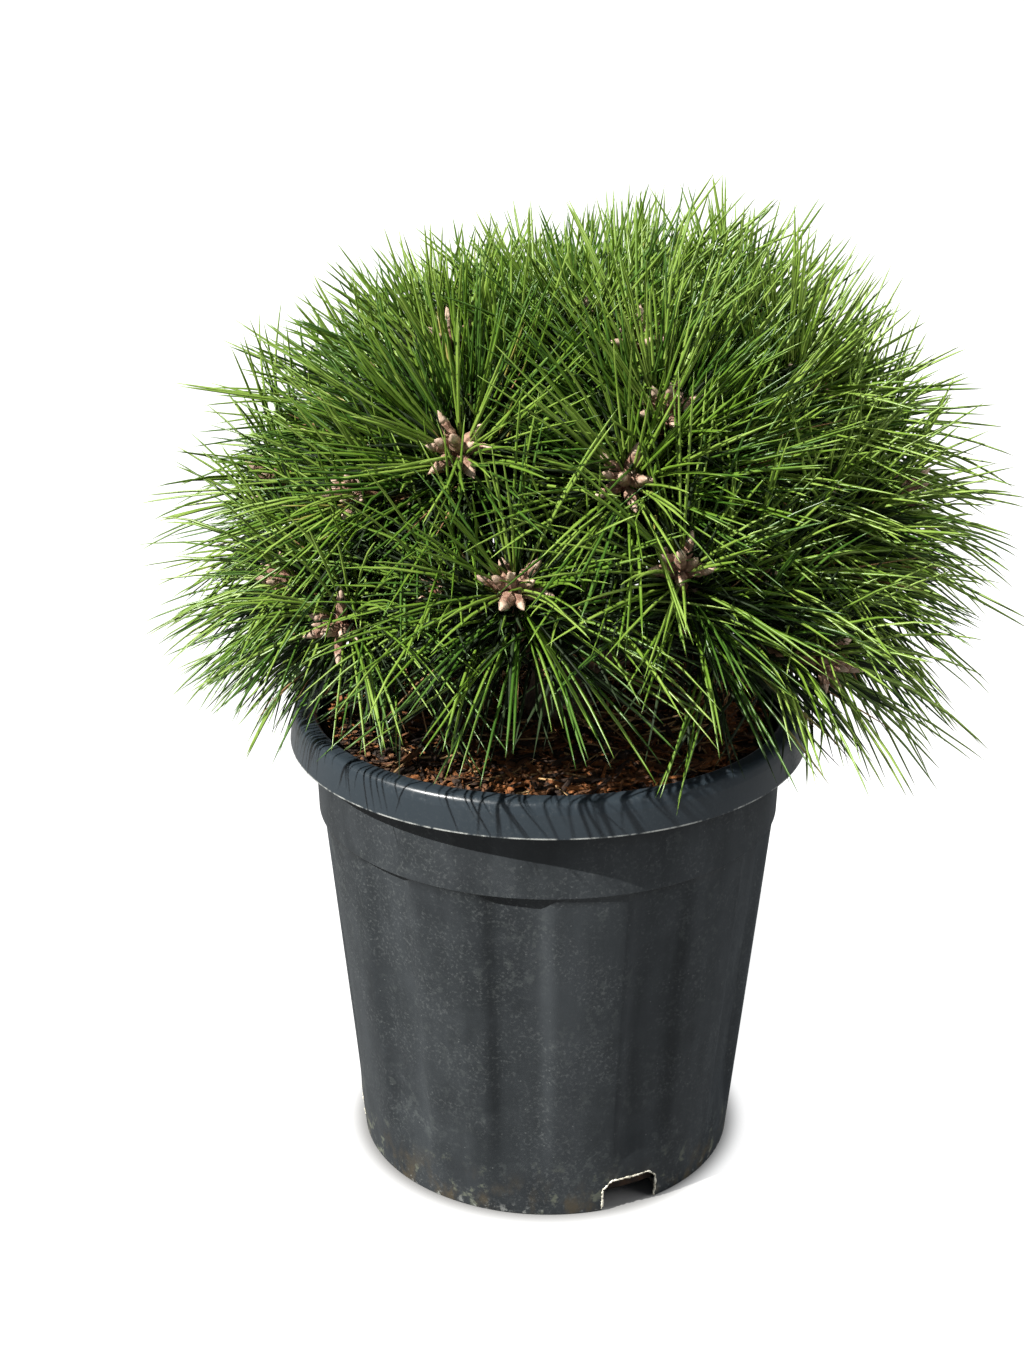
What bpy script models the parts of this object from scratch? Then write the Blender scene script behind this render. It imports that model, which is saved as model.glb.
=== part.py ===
"""A dwarf mugo pine in a plastic nursery pot, as separate closed solids.

Metres, +Z up. The origin is the middle of the pot's flat underside, and -Y is the front.
A short stem stands in the soil and carries one tapering bough for each tuft of needles.
Each tuft keeps to its own sector of the cushion, and is one solid: a stem that forks into
shoots, a dense heart, buds, and sprays of needles that stand out of it.
"""

import math
import random

import bmesh
import bpy
from mathutils import Matrix, Vector

# Driving sizes of the pot
POT_HEIGHT = 0.2425
LIP_RADIUS = 0.130
LIP_FOOT = 0.2247
BAND_RADIUS = 0.1178
BAND_FOOT = 0.188
BAND_TAPER = 0.0012
WALL_TOP_RADIUS = 0.1154
WALL_TOP = 0.1864
FOOT_RADIUS = 0.0973
POT_WALL = 0.0022
POT_STEPS = 50

# The pot's underside: a middle disc and the wall's foot both stand on the ground
DISC_RADIUS = 0.050
FLOOR_LIFT = 0.007

# Shallow upright flutes in the wall, and the drain notches at its foot
FLUTES = 10
FIRST_FLUTE = math.radians(-8)
FLUTE_DEPTH = 0.0022
FLUTE_TOP = 0.180
FLUTE_FOOT = 0.036
NOTCHES = 3
FIRST_NOTCH = math.radians(25)
NOTCH_WIDTH = 0.030
NOTCH_HEIGHT = 0.018
NOTCH_DEPTH = 0.017
NOTCH_CHAMFER = 0.0045
NOTCH_BELOW = 0.004

# Soil
SOIL_EDGE = 0.2325
SOIL_MIDDLE = 0.2355
SOIL_SHOULDER = 0.6
SOIL_FALL = 0.0006
SOIL_CHAMFER = 0.004
GAP = 0.0003

# Driving sizes of the cushion of needles: an ellipsoid about its middle
CROWN_MIDDLE = Vector((0.0155, 0.0, 0.288))
CROWN_REACH = Vector((0.2155, 0.205, 0.217))
SWELL_WIDTH = math.radians(22)
SWELLS = ((90, 32, 0.07), (90, 68, 0.06), (-90, 24, 0.04), (-90, 84, -0.06))

# The needles droop outside the rim: least height of a tip at the sides and at the front
SIDE_DROOP = 0.216
FRONT_DROOP = 0.248
DROOP_SLOPE = 0.05
HEART_OUTER = 0.69
HEART_INNER = 0.39
SHOOT_REACH = 0.74
SHOOT_WANDER = 0.025
FORK_REACH = 0.46
BOUGH_REACH = 0.36
SECTOR_MARGIN = 0.0012
HEART_MARGIN = 0.002
HEART_CLEAR = 0.004
RIM_CLEAR = 0.002

# Tiers of tufts, lowest first: height angle, number, angle of the first one from the front,
# and the height on the stem where their boughs leave it
TIERS = (
    (12, 8, -17, 0.252),
    (48, 5, 24, 0.281),
    (90, 1, 0, 0.0),
)
BOUGH_LIFT = 0.009

# Shoots of one tuft: turn and rise from the tuft's own direction, in degrees
SHOOTS = ((-13, 9), (12, 11), (1, -13))
TOP_SHOOTS = ((0, 12), (120, 12), (240, 12))

# Shoots that show, by turn and rise: each takes the place of the rule's shoot nearest to it
SEEN_SHOOTS = (
    (-62, 14), (-45, 11), (-52, 32), (-29, 43), (-13, 22), (7, 39),
    (16, 25), (19, 51), (20, 65), (74, 49), (44, 5), (-62, 64),
)
SEEN_WITHIN = math.radians(20)
TWIG_RADIUS = 0.0034
SHOOT_SINK = 0.001
BUD_RADIUS = 0.0042
BUD_LENGTH = 0.014

# Sprays of needles, each a slim point from inside the heart to the crown's outline
SPRAYS = 1450
NEEDLE_RADIUS = 0.0030
ROOT_SHARE = 0.60
ROOT_GATHERS = (0.65, 0.35, 0.1)
SHORTEST_SHARE = 0.92
TIP_WANDER = 0.02

# The stem
STEM_FOOT_X = 0.004
STEM_SWAY = 0.003
STEM_FLARE = 0.021
STEM_RADIUS = 0.0125

# The boughs
BOUGH_FOOT_RADIUS = 0.0052
BOUGH_TIP_RADIUS = 0.0036
BOUGH_SAG = 0.08
BOUGH_LAST = 0.008
BOUGH_STEPS = 5

SEED = 11


def remove_everything():
    """Clear the scene of objects."""
    for thing in list(bpy.data.objects):
        bpy.data.objects.remove(thing, do_unlink=True)


def make_collection(name):
    """Return a new collection that is linked to the scene."""
    collection = bpy.data.collections.new(name)
    bpy.context.scene.collection.children.link(collection)
    return collection


def material(name, colour, roughness, metallic=0.0):
    """Return a Principled material."""
    made = bpy.data.materials.new(name)
    made.use_nodes = True
    shader = made.node_tree.nodes["Principled BSDF"]
    shader.inputs["Base Color"].default_value = (*colour, 1.0)
    shader.inputs["Roughness"].default_value = roughness
    shader.inputs["Metallic"].default_value = metallic
    return made


def add_object(name, mesh, collection, finish=None):
    """Put a mesh in a collection as a named object."""
    thing = bpy.data.objects.new(name, mesh)
    collection.objects.link(thing)
    if finish is not None:
        thing.data.materials.clear()
        thing.data.materials.append(finish)
    return thing


def evaluated_mesh(thing):
    """Return a copy of the object's mesh with its modifiers applied."""
    graph = bpy.context.evaluated_depsgraph_get()
    return bpy.data.meshes.new_from_object(thing.evaluated_get(graph))


def turned(name, section, steps, collection, finish):
    """Return a solid turned from a section that starts and ends on the upright axis."""
    shape = bmesh.new()
    points = [shape.verts.new((radius, 0.0, height)) for radius, height in section]
    for start, end in zip(points, points[1:]):
        shape.edges.new((start, end))
    mesh = bpy.data.meshes.new(name)
    shape.to_mesh(mesh)
    shape.free()
    thing = add_object(name, mesh, collection, finish)
    screw = thing.modifiers.new("turn", "SCREW")
    screw.steps = steps
    screw.render_steps = steps
    screw.use_merge_vertices = True
    screw.merge_threshold = 0.00005
    thing.data = evaluated_mesh(thing)
    thing.modifiers.clear()
    return thing


def wall_radius(height):
    """Return the outer radius of the pot's tapering wall below the band."""
    return FOOT_RADIUS + (WALL_TOP_RADIUS - FOOT_RADIUS) * height / WALL_TOP


def pot_inside():
    """Return the section of the pot's inner face, from the middle of the floor to the rim."""
    floor = FLOOR_LIFT + POT_WALL
    return [
        (0.0, POT_WALL),
        (DISC_RADIUS - POT_WALL, POT_WALL),
        (DISC_RADIUS + POT_WALL, floor),
        (wall_radius(floor) - POT_WALL, floor),
        (wall_radius(FLUTE_FOOT) - POT_WALL, FLUTE_FOOT),
        (wall_radius(FLUTE_TOP) - POT_WALL, FLUTE_TOP),
        (WALL_TOP_RADIUS - POT_WALL, WALL_TOP),
        (BAND_RADIUS - POT_WALL, LIP_FOOT),
    ]


def pot_section():
    """Return the pot's whole section, up the inside, over the rim and down the outside."""
    rim = [
        (0.1164, 0.2370),
        (0.1180, 0.2410),
        (0.1205, POT_HEIGHT),
        (0.1240, 0.2422),
        (0.1272, 0.2400),
        (0.1284, 0.2365),
        (LIP_RADIUS, LIP_FOOT),
        (LIP_RADIUS - 0.0020, LIP_FOOT),
        (0.1263, 0.2372),
        (0.1225, 0.2400),
        (0.1192, 0.2376),
    ]
    outside = [
        (BAND_RADIUS, LIP_FOOT),
        (BAND_RADIUS - BAND_TAPER, BAND_FOOT),
        (WALL_TOP_RADIUS, WALL_TOP),
        (wall_radius(FLUTE_TOP), FLUTE_TOP),
        (wall_radius(FLUTE_FOOT), FLUTE_FOOT),
        (FOOT_RADIUS, 0.0),
        (FOOT_RADIUS - POT_WALL, 0.0),
        (wall_radius(FLOOR_LIFT) - POT_WALL, FLOOR_LIFT),
        (DISC_RADIUS + 2 * POT_WALL, FLOOR_LIFT),
        (DISC_RADIUS, 0.0),
        (0.0, 0.0),
    ]
    return pot_inside() + rim + outside


def flute(turn, height):
    """Return how far the wall is pressed in at this angle and height."""
    if not 0.5 * FLUTE_FOOT < height < 0.5 * (FLUTE_TOP + WALL_TOP):
        return 0.0
    return FLUTE_DEPTH * (0.5 + 0.5 * math.cos(FLUTES * (turn - FIRST_FLUTE)))


def make_pot(collection, cutters, finish):
    """Make the pot with its flutes and drain notches."""
    pot = turned("pot", pot_section(), POT_STEPS, collection, finish)
    pot.data.transform(Matrix.Rotation(FIRST_FLUTE - 0.5 * math.pi, 4, "Z"))
    for vertex in pot.data.vertices:
        radius = vertex.co.xy.length
        if radius > DISC_RADIUS + 2 * POT_WALL:
            pressed = flute(math.atan2(vertex.co.x, -vertex.co.y), vertex.co.z)
            vertex.co.xy *= (radius - pressed) / radius
    for number in range(NOTCHES):
        turn = FIRST_NOTCH + number * math.tau / NOTCHES
        cutter = notch_cutter(number, turn, cutters)
        cut(pot, cutter)
    for face in pot.data.polygons:
        face.use_smooth = True
    pot.data.set_sharp_from_angle(angle=math.radians(35))
    return pot


def notch_cutter(number, turn, cutters):
    """Return a block with chamfered upper corners that cuts one drain notch."""
    shape = bmesh.new()
    bmesh.ops.create_cube(shape, size=1.0)
    for vertex in shape.verts:
        vertex.co.x *= NOTCH_WIDTH
        vertex.co.y *= NOTCH_DEPTH
        vertex.co.z = NOTCH_HEIGHT if vertex.co.z > 0 else -NOTCH_BELOW
    upper = [
        edge for edge in shape.edges
        if edge.verts[0].co.xz == edge.verts[1].co.xz and edge.verts[0].co.z > 0
    ]
    bmesh.ops.bevel(
        shape, geom=upper, offset=NOTCH_CHAMFER, segments=1, profile=0.5, affect="EDGES", material=-1
    )
    mesh = bpy.data.meshes.new("notch_cutter")
    shape.to_mesh(mesh)
    shape.free()
    cutter = add_object("notch_cutter_%d" % number, mesh, cutters)
    cutter.location = (FOOT_RADIUS * math.sin(turn), -FOOT_RADIUS * math.cos(turn), 0.0)
    cutter.rotation_euler = (0.0, 0.0, turn)
    cutter.hide_render = True
    cutter.display_type = "WIRE"
    return cutter


def cut(thing, cutter):
    """Take the cutter away from the object and apply the result."""
    bpy.context.view_layer.update()
    cutting = thing.modifiers.new("cut", "BOOLEAN")
    cutting.operation = "DIFFERENCE"
    cutting.solver = "EXACT"
    cutting.object = cutter
    thing.data = evaluated_mesh(thing)
    thing.modifiers.clear()


def make_soil(collection, finish):
    """Make the soil that fills the pot, a hair clear of its wall and floor."""
    inside = pot_inside()
    clear = GAP + FLUTE_DEPTH
    edge_radius = inside[-1][0] - clear
    floor = inside[3][1] + GAP
    section = [
        (0.0, SOIL_MIDDLE),
        (edge_radius * SOIL_SHOULDER, SOIL_MIDDLE - SOIL_FALL),
        (edge_radius, SOIL_EDGE),
        (edge_radius, LIP_FOOT - SOIL_CHAMFER),
        (WALL_TOP_RADIUS - POT_WALL - clear, WALL_TOP),
        (wall_radius(floor) - POT_WALL - clear, floor),
        (0.0, floor),
    ]
    soil = turned("soil", section, POT_STEPS // 2, collection, finish)
    for face in soil.data.polygons:
        face.use_smooth = True
    soil.data.set_sharp_from_angle(angle=math.radians(35))
    return soil


def limb(name, points, radii, collection, finish, sides=0):
    """Return a tapering limb along points, as a mesh with welded flat ends.

    The number of sides is four and two more for each step of sides.
    """
    curve = bpy.data.curves.new(name, "CURVE")
    curve.dimensions = "3D"
    curve.bevel_depth = 1.0
    curve.bevel_resolution = sides
    curve.use_fill_caps = True
    spline = curve.splines.new("POLY")
    spline.points.add(len(points) - 1)
    for point, place, radius in zip(spline.points, points, radii):
        point.co = (*place, 1.0)
        point.radius = radius
    guide = bpy.data.objects.new(name + "_guide", curve)
    collection.objects.link(guide)
    bpy.context.view_layer.update()
    mesh = evaluated_mesh(guide)
    bpy.data.objects.remove(guide, do_unlink=True)
    shape = bmesh.new()
    shape.from_mesh(mesh)
    bmesh.ops.remove_doubles(shape, verts=shape.verts, dist=0.00001)
    bmesh.ops.recalc_face_normals(shape, faces=shape.faces)
    shape.to_mesh(mesh)
    shape.free()
    mesh.name = name
    return add_object(name, mesh, collection, finish)


def towards(turn, rise):
    """Return the unit direction at a turn from the front and a rise, in degrees."""
    turn = math.radians(turn)
    rise = math.radians(rise)
    flat = math.cos(rise)
    return Vector((flat * math.sin(turn), -flat * math.cos(turn), math.sin(rise)))


def swell(direction):
    """Return how much the cushion's outline is fuller than an ellipsoid in a direction."""
    total = 1.0
    for turn, rise, gain in SWELLS:
        apart = direction.angle(towards(turn, rise)) / SWELL_WIDTH
        total += gain * math.exp(-apart * apart)
    return total


def crown_point(direction, share):
    """Return the place at a share of the crown's reach along a direction."""
    share *= swell(direction)
    return CROWN_MIDDLE + Vector(d * r * share for d, r in zip(direction, CROWN_REACH))


def crown_share(place):
    """Return the share of the crown's reach at which a place lies."""
    scaled = Vector(p / r for p, r in zip(place - CROWN_MIDDLE, CROWN_REACH))
    return scaled.length / swell(scaled)


def list_tufts():
    """Return each tuft's name, direction, shoots and the height where its bough starts."""
    tufts = []
    for tier, (rise, count, first, start) in enumerate(TIERS):
        for number in range(count):
            turn = first + number * 360.0 / count
            name = "tuft_top" if count == 1 else "tuft_%s_%d" % ("low" if tier == 0 else "mid", number + 1)
            if count == 1:
                shoots = [towards(aside, rise - fall) for aside, fall in TOP_SHOOTS]
            else:
                widen = 1.0 / math.cos(math.radians(rise))
                shoots = [towards(turn + aside * widen, rise + up) for aside, up in SHOOTS]
            lift = BOUGH_LIFT * (number % 2)
            tufts.append((name, towards(turn, rise), shoots, start + lift))
    move_seen_shoots([shoots for _, _, shoots, _ in tufts])
    return tufts


def move_seen_shoots(tuft_shoots):
    """Move the rule's nearest shoot to each shoot that shows."""
    free = [(shoots, number) for shoots in tuft_shoots for number in range(len(shoots))]
    for turn, rise in SEEN_SHOOTS:
        seen = towards(turn, rise)
        nearest = min(free, key=lambda place: seen.angle(place[0][place[1]]))
        shoots, number = nearest
        if seen.angle(shoots[number]) < SEEN_WITHIN:
            shoots[number] = seen
            free.remove(nearest)


class Sector:
    """The space of one tuft: what is nearer to its direction than to any other's."""

    def __init__(self, own, others):
        self.planes = []
        for other in others:
            lean = own - other
            normal = Vector(part / reach for part, reach in zip(lean, CROWN_REACH))
            self.planes.append(normal.normalized())

    def room(self, place):
        """Return how far inside the sector's sides a place lies."""
        return min(plane.dot(place - CROWN_MIDDLE) for plane in self.planes)


def clear_of_pot(place, width):
    """Tell whether a place keeps clear of the pot's rim and the soil."""
    out = math.hypot(place.x, place.y)
    if out < LIP_RADIUS + width + RIM_CLEAR:
        return place.z > POT_HEIGHT + width + RIM_CLEAR
    frontal = abs(place.y) / out
    lowest = SIDE_DROOP + (FRONT_DROOP - SIDE_DROOP) * frontal - DROOP_SLOPE * place.x
    return place.z > lowest


def stem_at(height):
    """Return the middle of the stem at a height: it leans over as it rises."""
    foot = Vector((STEM_FOOT_X, 0.0, SOIL_MIDDLE + GAP))
    top = bough_end(Vector((0.0, 0.0, 1.0)))
    along = (height - foot.z) / (top.z - foot.z)
    lean = along * along * (3.0 - 2.0 * along)
    sway = STEM_SWAY * math.sin(math.pi * along) * along
    return Vector((foot.x + (top.x - foot.x) * lean, foot.y + sway, height))


def make_stem(collection, finish):
    """Make the short stem, with its flare at the soil, its lean and its taper."""
    foot = SOIL_MIDDLE + GAP
    rise = bough_end(Vector((0.0, 0.0, 1.0))).z - foot
    stations = (
        (0.0, STEM_FLARE),
        (0.04, 0.80 * STEM_FLARE),
        (0.10, 1.10 * STEM_RADIUS),
        (0.20, STEM_RADIUS),
        (0.42, 0.85 * STEM_RADIUS),
        (0.62, 0.62 * STEM_RADIUS),
        (0.90, 1.2 * BOUGH_TIP_RADIUS),
        (1.0, BOUGH_TIP_RADIUS),
    )
    points = [stem_at(foot + rise * along) for along, _ in stations]
    points[1].xy = points[0].xy
    points[-2].xy = points[-1].xy
    return limb("stem", points, [radius for _, radius in stations], collection, finish, sides=2)


def swollen(thing, by, cutters):
    """Return a copy of an object grown outwards, to cut a clear gap round it."""
    shape = bmesh.new()
    shape.from_mesh(thing.data)
    shape.normal_update()
    for vertex in shape.verts:
        vertex.co += vertex.normal * by
    mesh = bpy.data.meshes.new(thing.name + "_cutter")
    shape.to_mesh(mesh)
    shape.free()
    cutter = add_object(thing.name + "_cutter", mesh, cutters)
    cutter.hide_render = True
    cutter.display_type = "WIRE"
    return cutter


def bough_end(direction):
    """Return the tip of the limb that carries the tuft in a direction."""
    return crown_point(direction, BOUGH_REACH)


def tuft_way(direction):
    """Return the unit direction in which a tuft's own stem leaves its bough."""
    return (crown_point(direction, FORK_REACH) - bough_end(direction)).normalized()


def make_bough(name, direction, start, stem_cutter, collection, finish):
    """Make one tapering bough from the stem to the foot of its tuft."""
    foot = stem_at(start)
    tip = bough_end(direction)
    last = tip - tuft_way(direction) * BOUGH_LAST
    reach = last - foot
    sag = Vector((0.0, 0.0, BOUGH_SAG * math.hypot(reach.x, reach.y)))
    points = []
    for step in range(BOUGH_STEPS):
        along = step / (BOUGH_STEPS - 1)
        points.append(foot + reach * along - sag * math.sin(math.pi * along))
    points.append(tip)
    radii = [
        BOUGH_FOOT_RADIUS + (BOUGH_TIP_RADIUS - BOUGH_FOOT_RADIUS) * step / BOUGH_STEPS
        for step in range(BOUGH_STEPS + 1)
    ]
    bough = limb(name, points, radii, collection, finish, sides=1)
    cut(bough, stem_cutter)
    return bough


def heart_radius(direction, middle, sector):
    """Return how far the dense heart reaches from its middle along a direction."""
    low = 0.0
    high = CROWN_REACH.x
    for _ in range(16):
        trial = 0.5 * (low + high)
        place = middle + direction * trial
        share = crown_share(place)
        fits = (
            HEART_INNER < share < HEART_OUTER
            and sector.room(place) > HEART_MARGIN
            and clear_of_pot(place, HEART_CLEAR)
        )
        if fits:
            low = trial
        else:
            high = trial
    return low


def make_heart(direction, sector, work):
    """Make the dense heart of a tuft, a lump that fills the depth of its sector."""
    middle = crown_point(direction, 0.5 * (HEART_OUTER + HEART_INNER))
    shape = bmesh.new()
    bmesh.ops.create_icosphere(shape, subdivisions=2, radius=1.0)
    reaches = {vertex: heart_radius(vertex.co.normalized(), middle, sector) for vertex in shape.verts}
    for vertex in shape.verts:
        beside = [reaches[edge.other_vert(vertex)] for edge in vertex.link_edges]
        rounded = 0.5 * reaches[vertex] + 0.5 * sum(beside) / len(beside)
        vertex.co = middle + vertex.co.normalized() * min(reaches[vertex], rounded)
    mesh = bpy.data.meshes.new("heart")
    shape.to_mesh(mesh)
    shape.free()
    return add_object("heart", mesh, work)


def spike(root, tip, work):
    """Make one slim three-sided point, a spray of needles, from root to tip."""
    reach = tip - root
    shape = bmesh.new()
    bmesh.ops.create_cone(
        shape, cap_ends=True, segments=3, radius1=NEEDLE_RADIUS, radius2=0.0, depth=reach.length
    )
    turn = reach.to_track_quat("Z", "Y").to_matrix().to_4x4()
    turn.translation = 0.5 * (root + tip)
    shape.transform(turn)
    bmesh.ops.remove_doubles(shape, verts=shape.verts, dist=0.00001)
    mesh = bpy.data.meshes.new("spike")
    shape.to_mesh(mesh)
    shape.free()
    return add_object("spike", mesh, work)


def stays_inside(root, tip, width, sector):
    """Tell whether a spray keeps to its sector and clear of the pot."""
    for step in range(1, 6):
        along = step / 5
        place = root.lerp(tip, along)
        thick = width * (1.0 - along)
        if sector.room(place) < SECTOR_MARGIN + thick:
            return False
        if not clear_of_pot(place, thick):
            return False
    return True


def tip_directions(count, dice):
    """Return directions spread evenly over a ball by the golden angle, a little disturbed."""
    golden = math.pi * (3.0 - math.sqrt(5.0))
    ways = []
    for number in range(count):
        height = 1.0 - 2.0 * (number + 0.5) / count
        flat = math.sqrt(1.0 - height * height)
        turn = number * golden
        way = Vector((flat * math.cos(turn), flat * math.sin(turn), height))
        wander = Vector([dice.uniform(-1, 1) for _ in range(3)]) * TIP_WANDER
        ways.append((way + wander).normalized())
    return ways


def needle_sprays(ways, shoots, sector, dice):
    """Return roots and tips of a tuft's sprays, each fanning out from its nearest shoot."""
    sprays = []
    for way in ways:
        tip = crown_point(way, dice.uniform(SHORTEST_SHARE, 1.0))
        if sector.room(tip) < SECTOR_MARGIN or not clear_of_pot(tip, 0.0):
            continue
        shoot = max(shoots, key=way.dot)
        for gather in ROOT_GATHERS:
            root = crown_point(way.lerp(shoot, gather).normalized(), ROOT_SHARE)
            if stays_inside(root, tip, NEEDLE_RADIUS, sector):
                sprays.append((root, tip))
                break
    return sprays


def largest_body(mesh):
    """Keep a mesh's largest connected piece, which drops scraps and fills sealed hollows."""
    shape = bmesh.new()
    shape.from_mesh(mesh)
    unseen = set(shape.faces)
    pieces = []
    while unseen:
        piece = {unseen.pop()}
        front = set(piece)
        while front:
            beside = {face for seen in front for edge in seen.edges for face in edge.link_faces}
            front = beside & unseen
            unseen -= front
            piece |= front
        pieces.append(piece)
    pieces.sort(key=len, reverse=True)
    for piece in pieces[1:]:
        bmesh.ops.delete(shape, geom=list(piece), context="FACES")
    shape.to_mesh(mesh)
    shape.free()


def join_all(name, work, collection, finish):
    """Join everything in the work collection into one solid by a union."""
    pieces = list(work.objects)
    seed_mesh = pieces[0].data.copy()
    bpy.data.objects.remove(pieces[0], do_unlink=True)
    mass = add_object(name, seed_mesh, collection, finish)
    joining = mass.modifiers.new("join", "BOOLEAN")
    joining.operation = "UNION"
    joining.operand_type = "COLLECTION"
    joining.collection = work
    joining.solver = "MANIFOLD"
    bpy.context.view_layer.update()
    mass.data = evaluated_mesh(mass)
    mass.modifiers.clear()
    mass.data.materials.clear()
    mass.data.materials.append(finish)
    for piece in list(work.objects):
        bpy.data.objects.remove(piece, do_unlink=True)
    largest_body(mass.data)
    return mass


def make_tuft(name, direction, shoots, ways, sector, dice, work, collection, finish):
    """Make one tuft: stem, shoots, heart, buds and sprays of needles in one solid."""
    foot = bough_end(direction)
    fork = crown_point(direction, FORK_REACH)
    make_heart(direction, sector, work)
    start = foot + tuft_way(direction) * GAP
    limb("twig", [start, fork], [BOUGH_TIP_RADIUS, TWIG_RADIUS], work, None)
    for shoot in shoots:
        tip = crown_point(shoot, SHOOT_REACH * dice.uniform(1.0 - SHOOT_WANDER, 1.0 + SHOOT_WANDER))
        axis = (tip - fork).normalized()
        places = [fork - axis * SHOOT_SINK, tip - axis * BUD_LENGTH, tip]
        limb("twig", places, [TWIG_RADIUS * 0.9, BUD_RADIUS, 0.2 * BUD_RADIUS], work, None)
    for root, end in needle_sprays(ways, shoots, sector, dice):
        spike(root, end, work)
    return join_all(name, work, collection, finish)


def main():
    """Build the pot, the soil, the stem, the boughs and the tufts."""
    remove_everything()
    plant = make_collection("mugo_pine")
    cutters = make_collection("cutters")
    work = make_collection("work")
    plastic = material("pot_plastic", (0.030, 0.036, 0.042), 0.5)
    earth = material("bark_mulch", (0.16, 0.075, 0.03), 0.95)
    bark = material("bark", (0.17, 0.11, 0.07), 0.9)
    needles = material("needles", (0.06, 0.16, 0.025), 0.55)
    dice = random.Random(SEED)

    make_pot(plant, cutters, plastic)
    make_soil(plant, earth)
    stem = make_stem(plant, bark)
    stem_cutter = swollen(stem, GAP, cutters)
    tufts = list_tufts()
    directions = [direction for _, direction, _, _ in tufts]
    ways = {direction.freeze(): [] for direction in directions}
    for way in tip_directions(SPRAYS, dice):
        ways[max(directions, key=way.dot)].append(way)
    for name, direction, shoots, start in tufts:
        sector = Sector(direction, [other for other in directions if other is not direction])
        if start:
            make_bough(name.replace("tuft", "bough"), direction, start, stem_cutter, plant, bark)
        make_tuft(name, direction, shoots, ways[direction], sector, dice, work, plant, needles)
    bpy.data.collections.remove(work)


main()
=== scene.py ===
"""Looks of a dwarf mugo pine in a round plastic nursery pot.

Metres, +Z up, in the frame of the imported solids: the origin is the middle of the pot's
underside, and -Y is the front. The pot, the soil, the limbs and every mass of needles are
modelled here, round the solids that they stand for.
"""

import logging
import math
from dataclasses import dataclass
from enum import Enum

import bmesh
import bpy
import numpy as np
from mathutils import Matrix, Vector, noise


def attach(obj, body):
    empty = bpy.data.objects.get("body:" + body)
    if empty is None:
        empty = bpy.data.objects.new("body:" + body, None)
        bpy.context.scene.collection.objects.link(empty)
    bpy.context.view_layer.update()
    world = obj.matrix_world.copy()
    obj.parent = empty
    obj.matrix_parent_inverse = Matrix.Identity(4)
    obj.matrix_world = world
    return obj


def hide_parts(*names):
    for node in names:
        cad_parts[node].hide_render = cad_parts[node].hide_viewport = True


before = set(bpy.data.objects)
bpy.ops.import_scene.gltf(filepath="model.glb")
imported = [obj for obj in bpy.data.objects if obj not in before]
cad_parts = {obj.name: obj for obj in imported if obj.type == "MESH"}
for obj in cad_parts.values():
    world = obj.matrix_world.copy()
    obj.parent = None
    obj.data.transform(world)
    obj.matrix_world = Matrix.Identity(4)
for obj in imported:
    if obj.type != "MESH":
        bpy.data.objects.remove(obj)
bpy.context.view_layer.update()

LOG = logging.getLogger("potted_pine")
BODY = "root"
SEED = 11
GOLDEN = math.pi * (3.0 - math.sqrt(5.0))
UP = np.array((0.0, 0.0, 1.0))
NEARLY_UPRIGHT = 0.9
WELD = 0.000001

Pair = tuple[float, float]
Triple = tuple[float, float, float]
Given = float | tuple[float, ...] | bpy.types.NodeSocket


class Slot(Enum):
    """The record's material slots."""

    POT = "pot_plastic"
    SOIL = "bark_mulch"
    BARK = "bark"
    NEEDLES = "needles"


# Meshes


def eased(share: float | np.ndarray) -> float | np.ndarray:
    """Ease a share in and out between 0 and 1."""
    return share * share * (3.0 - 2.0 * share)


def towards(turn: float, rise: float) -> np.ndarray:
    """Give the unit direction at a turn from the front and a rise.

    Args:
        turn: Degrees from -Y, positive towards +X.
        rise: Degrees above level.

    Returns:
        The direction, as an array of three.
    """
    turn, rise = math.radians(turn), math.radians(rise)
    flat = math.cos(rise)
    return np.array((flat * math.sin(turn), -flat * math.cos(turn), math.sin(rise)))


def unit(ways: np.ndarray) -> np.ndarray:
    """Scale each row to length one.

    Args:
        ways: Directions, one a row.

    Returns:
        The unit directions.
    """
    return ways / np.linalg.norm(ways, axis=-1, keepdims=True)


def across(ways: np.ndarray) -> tuple[np.ndarray, np.ndarray]:
    """Give two unit directions square to each row.

    Args:
        ways: Unit directions, one a row.

    Returns:
        The two directions, square to each other too.
    """
    aid = np.where(np.abs(ways[:, 2:3]) < NEARLY_UPRIGHT, UP, np.array((1.0, 0.0, 0.0)))
    first = unit(np.cross(aid, ways))
    return first, np.cross(ways, first)


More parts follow.
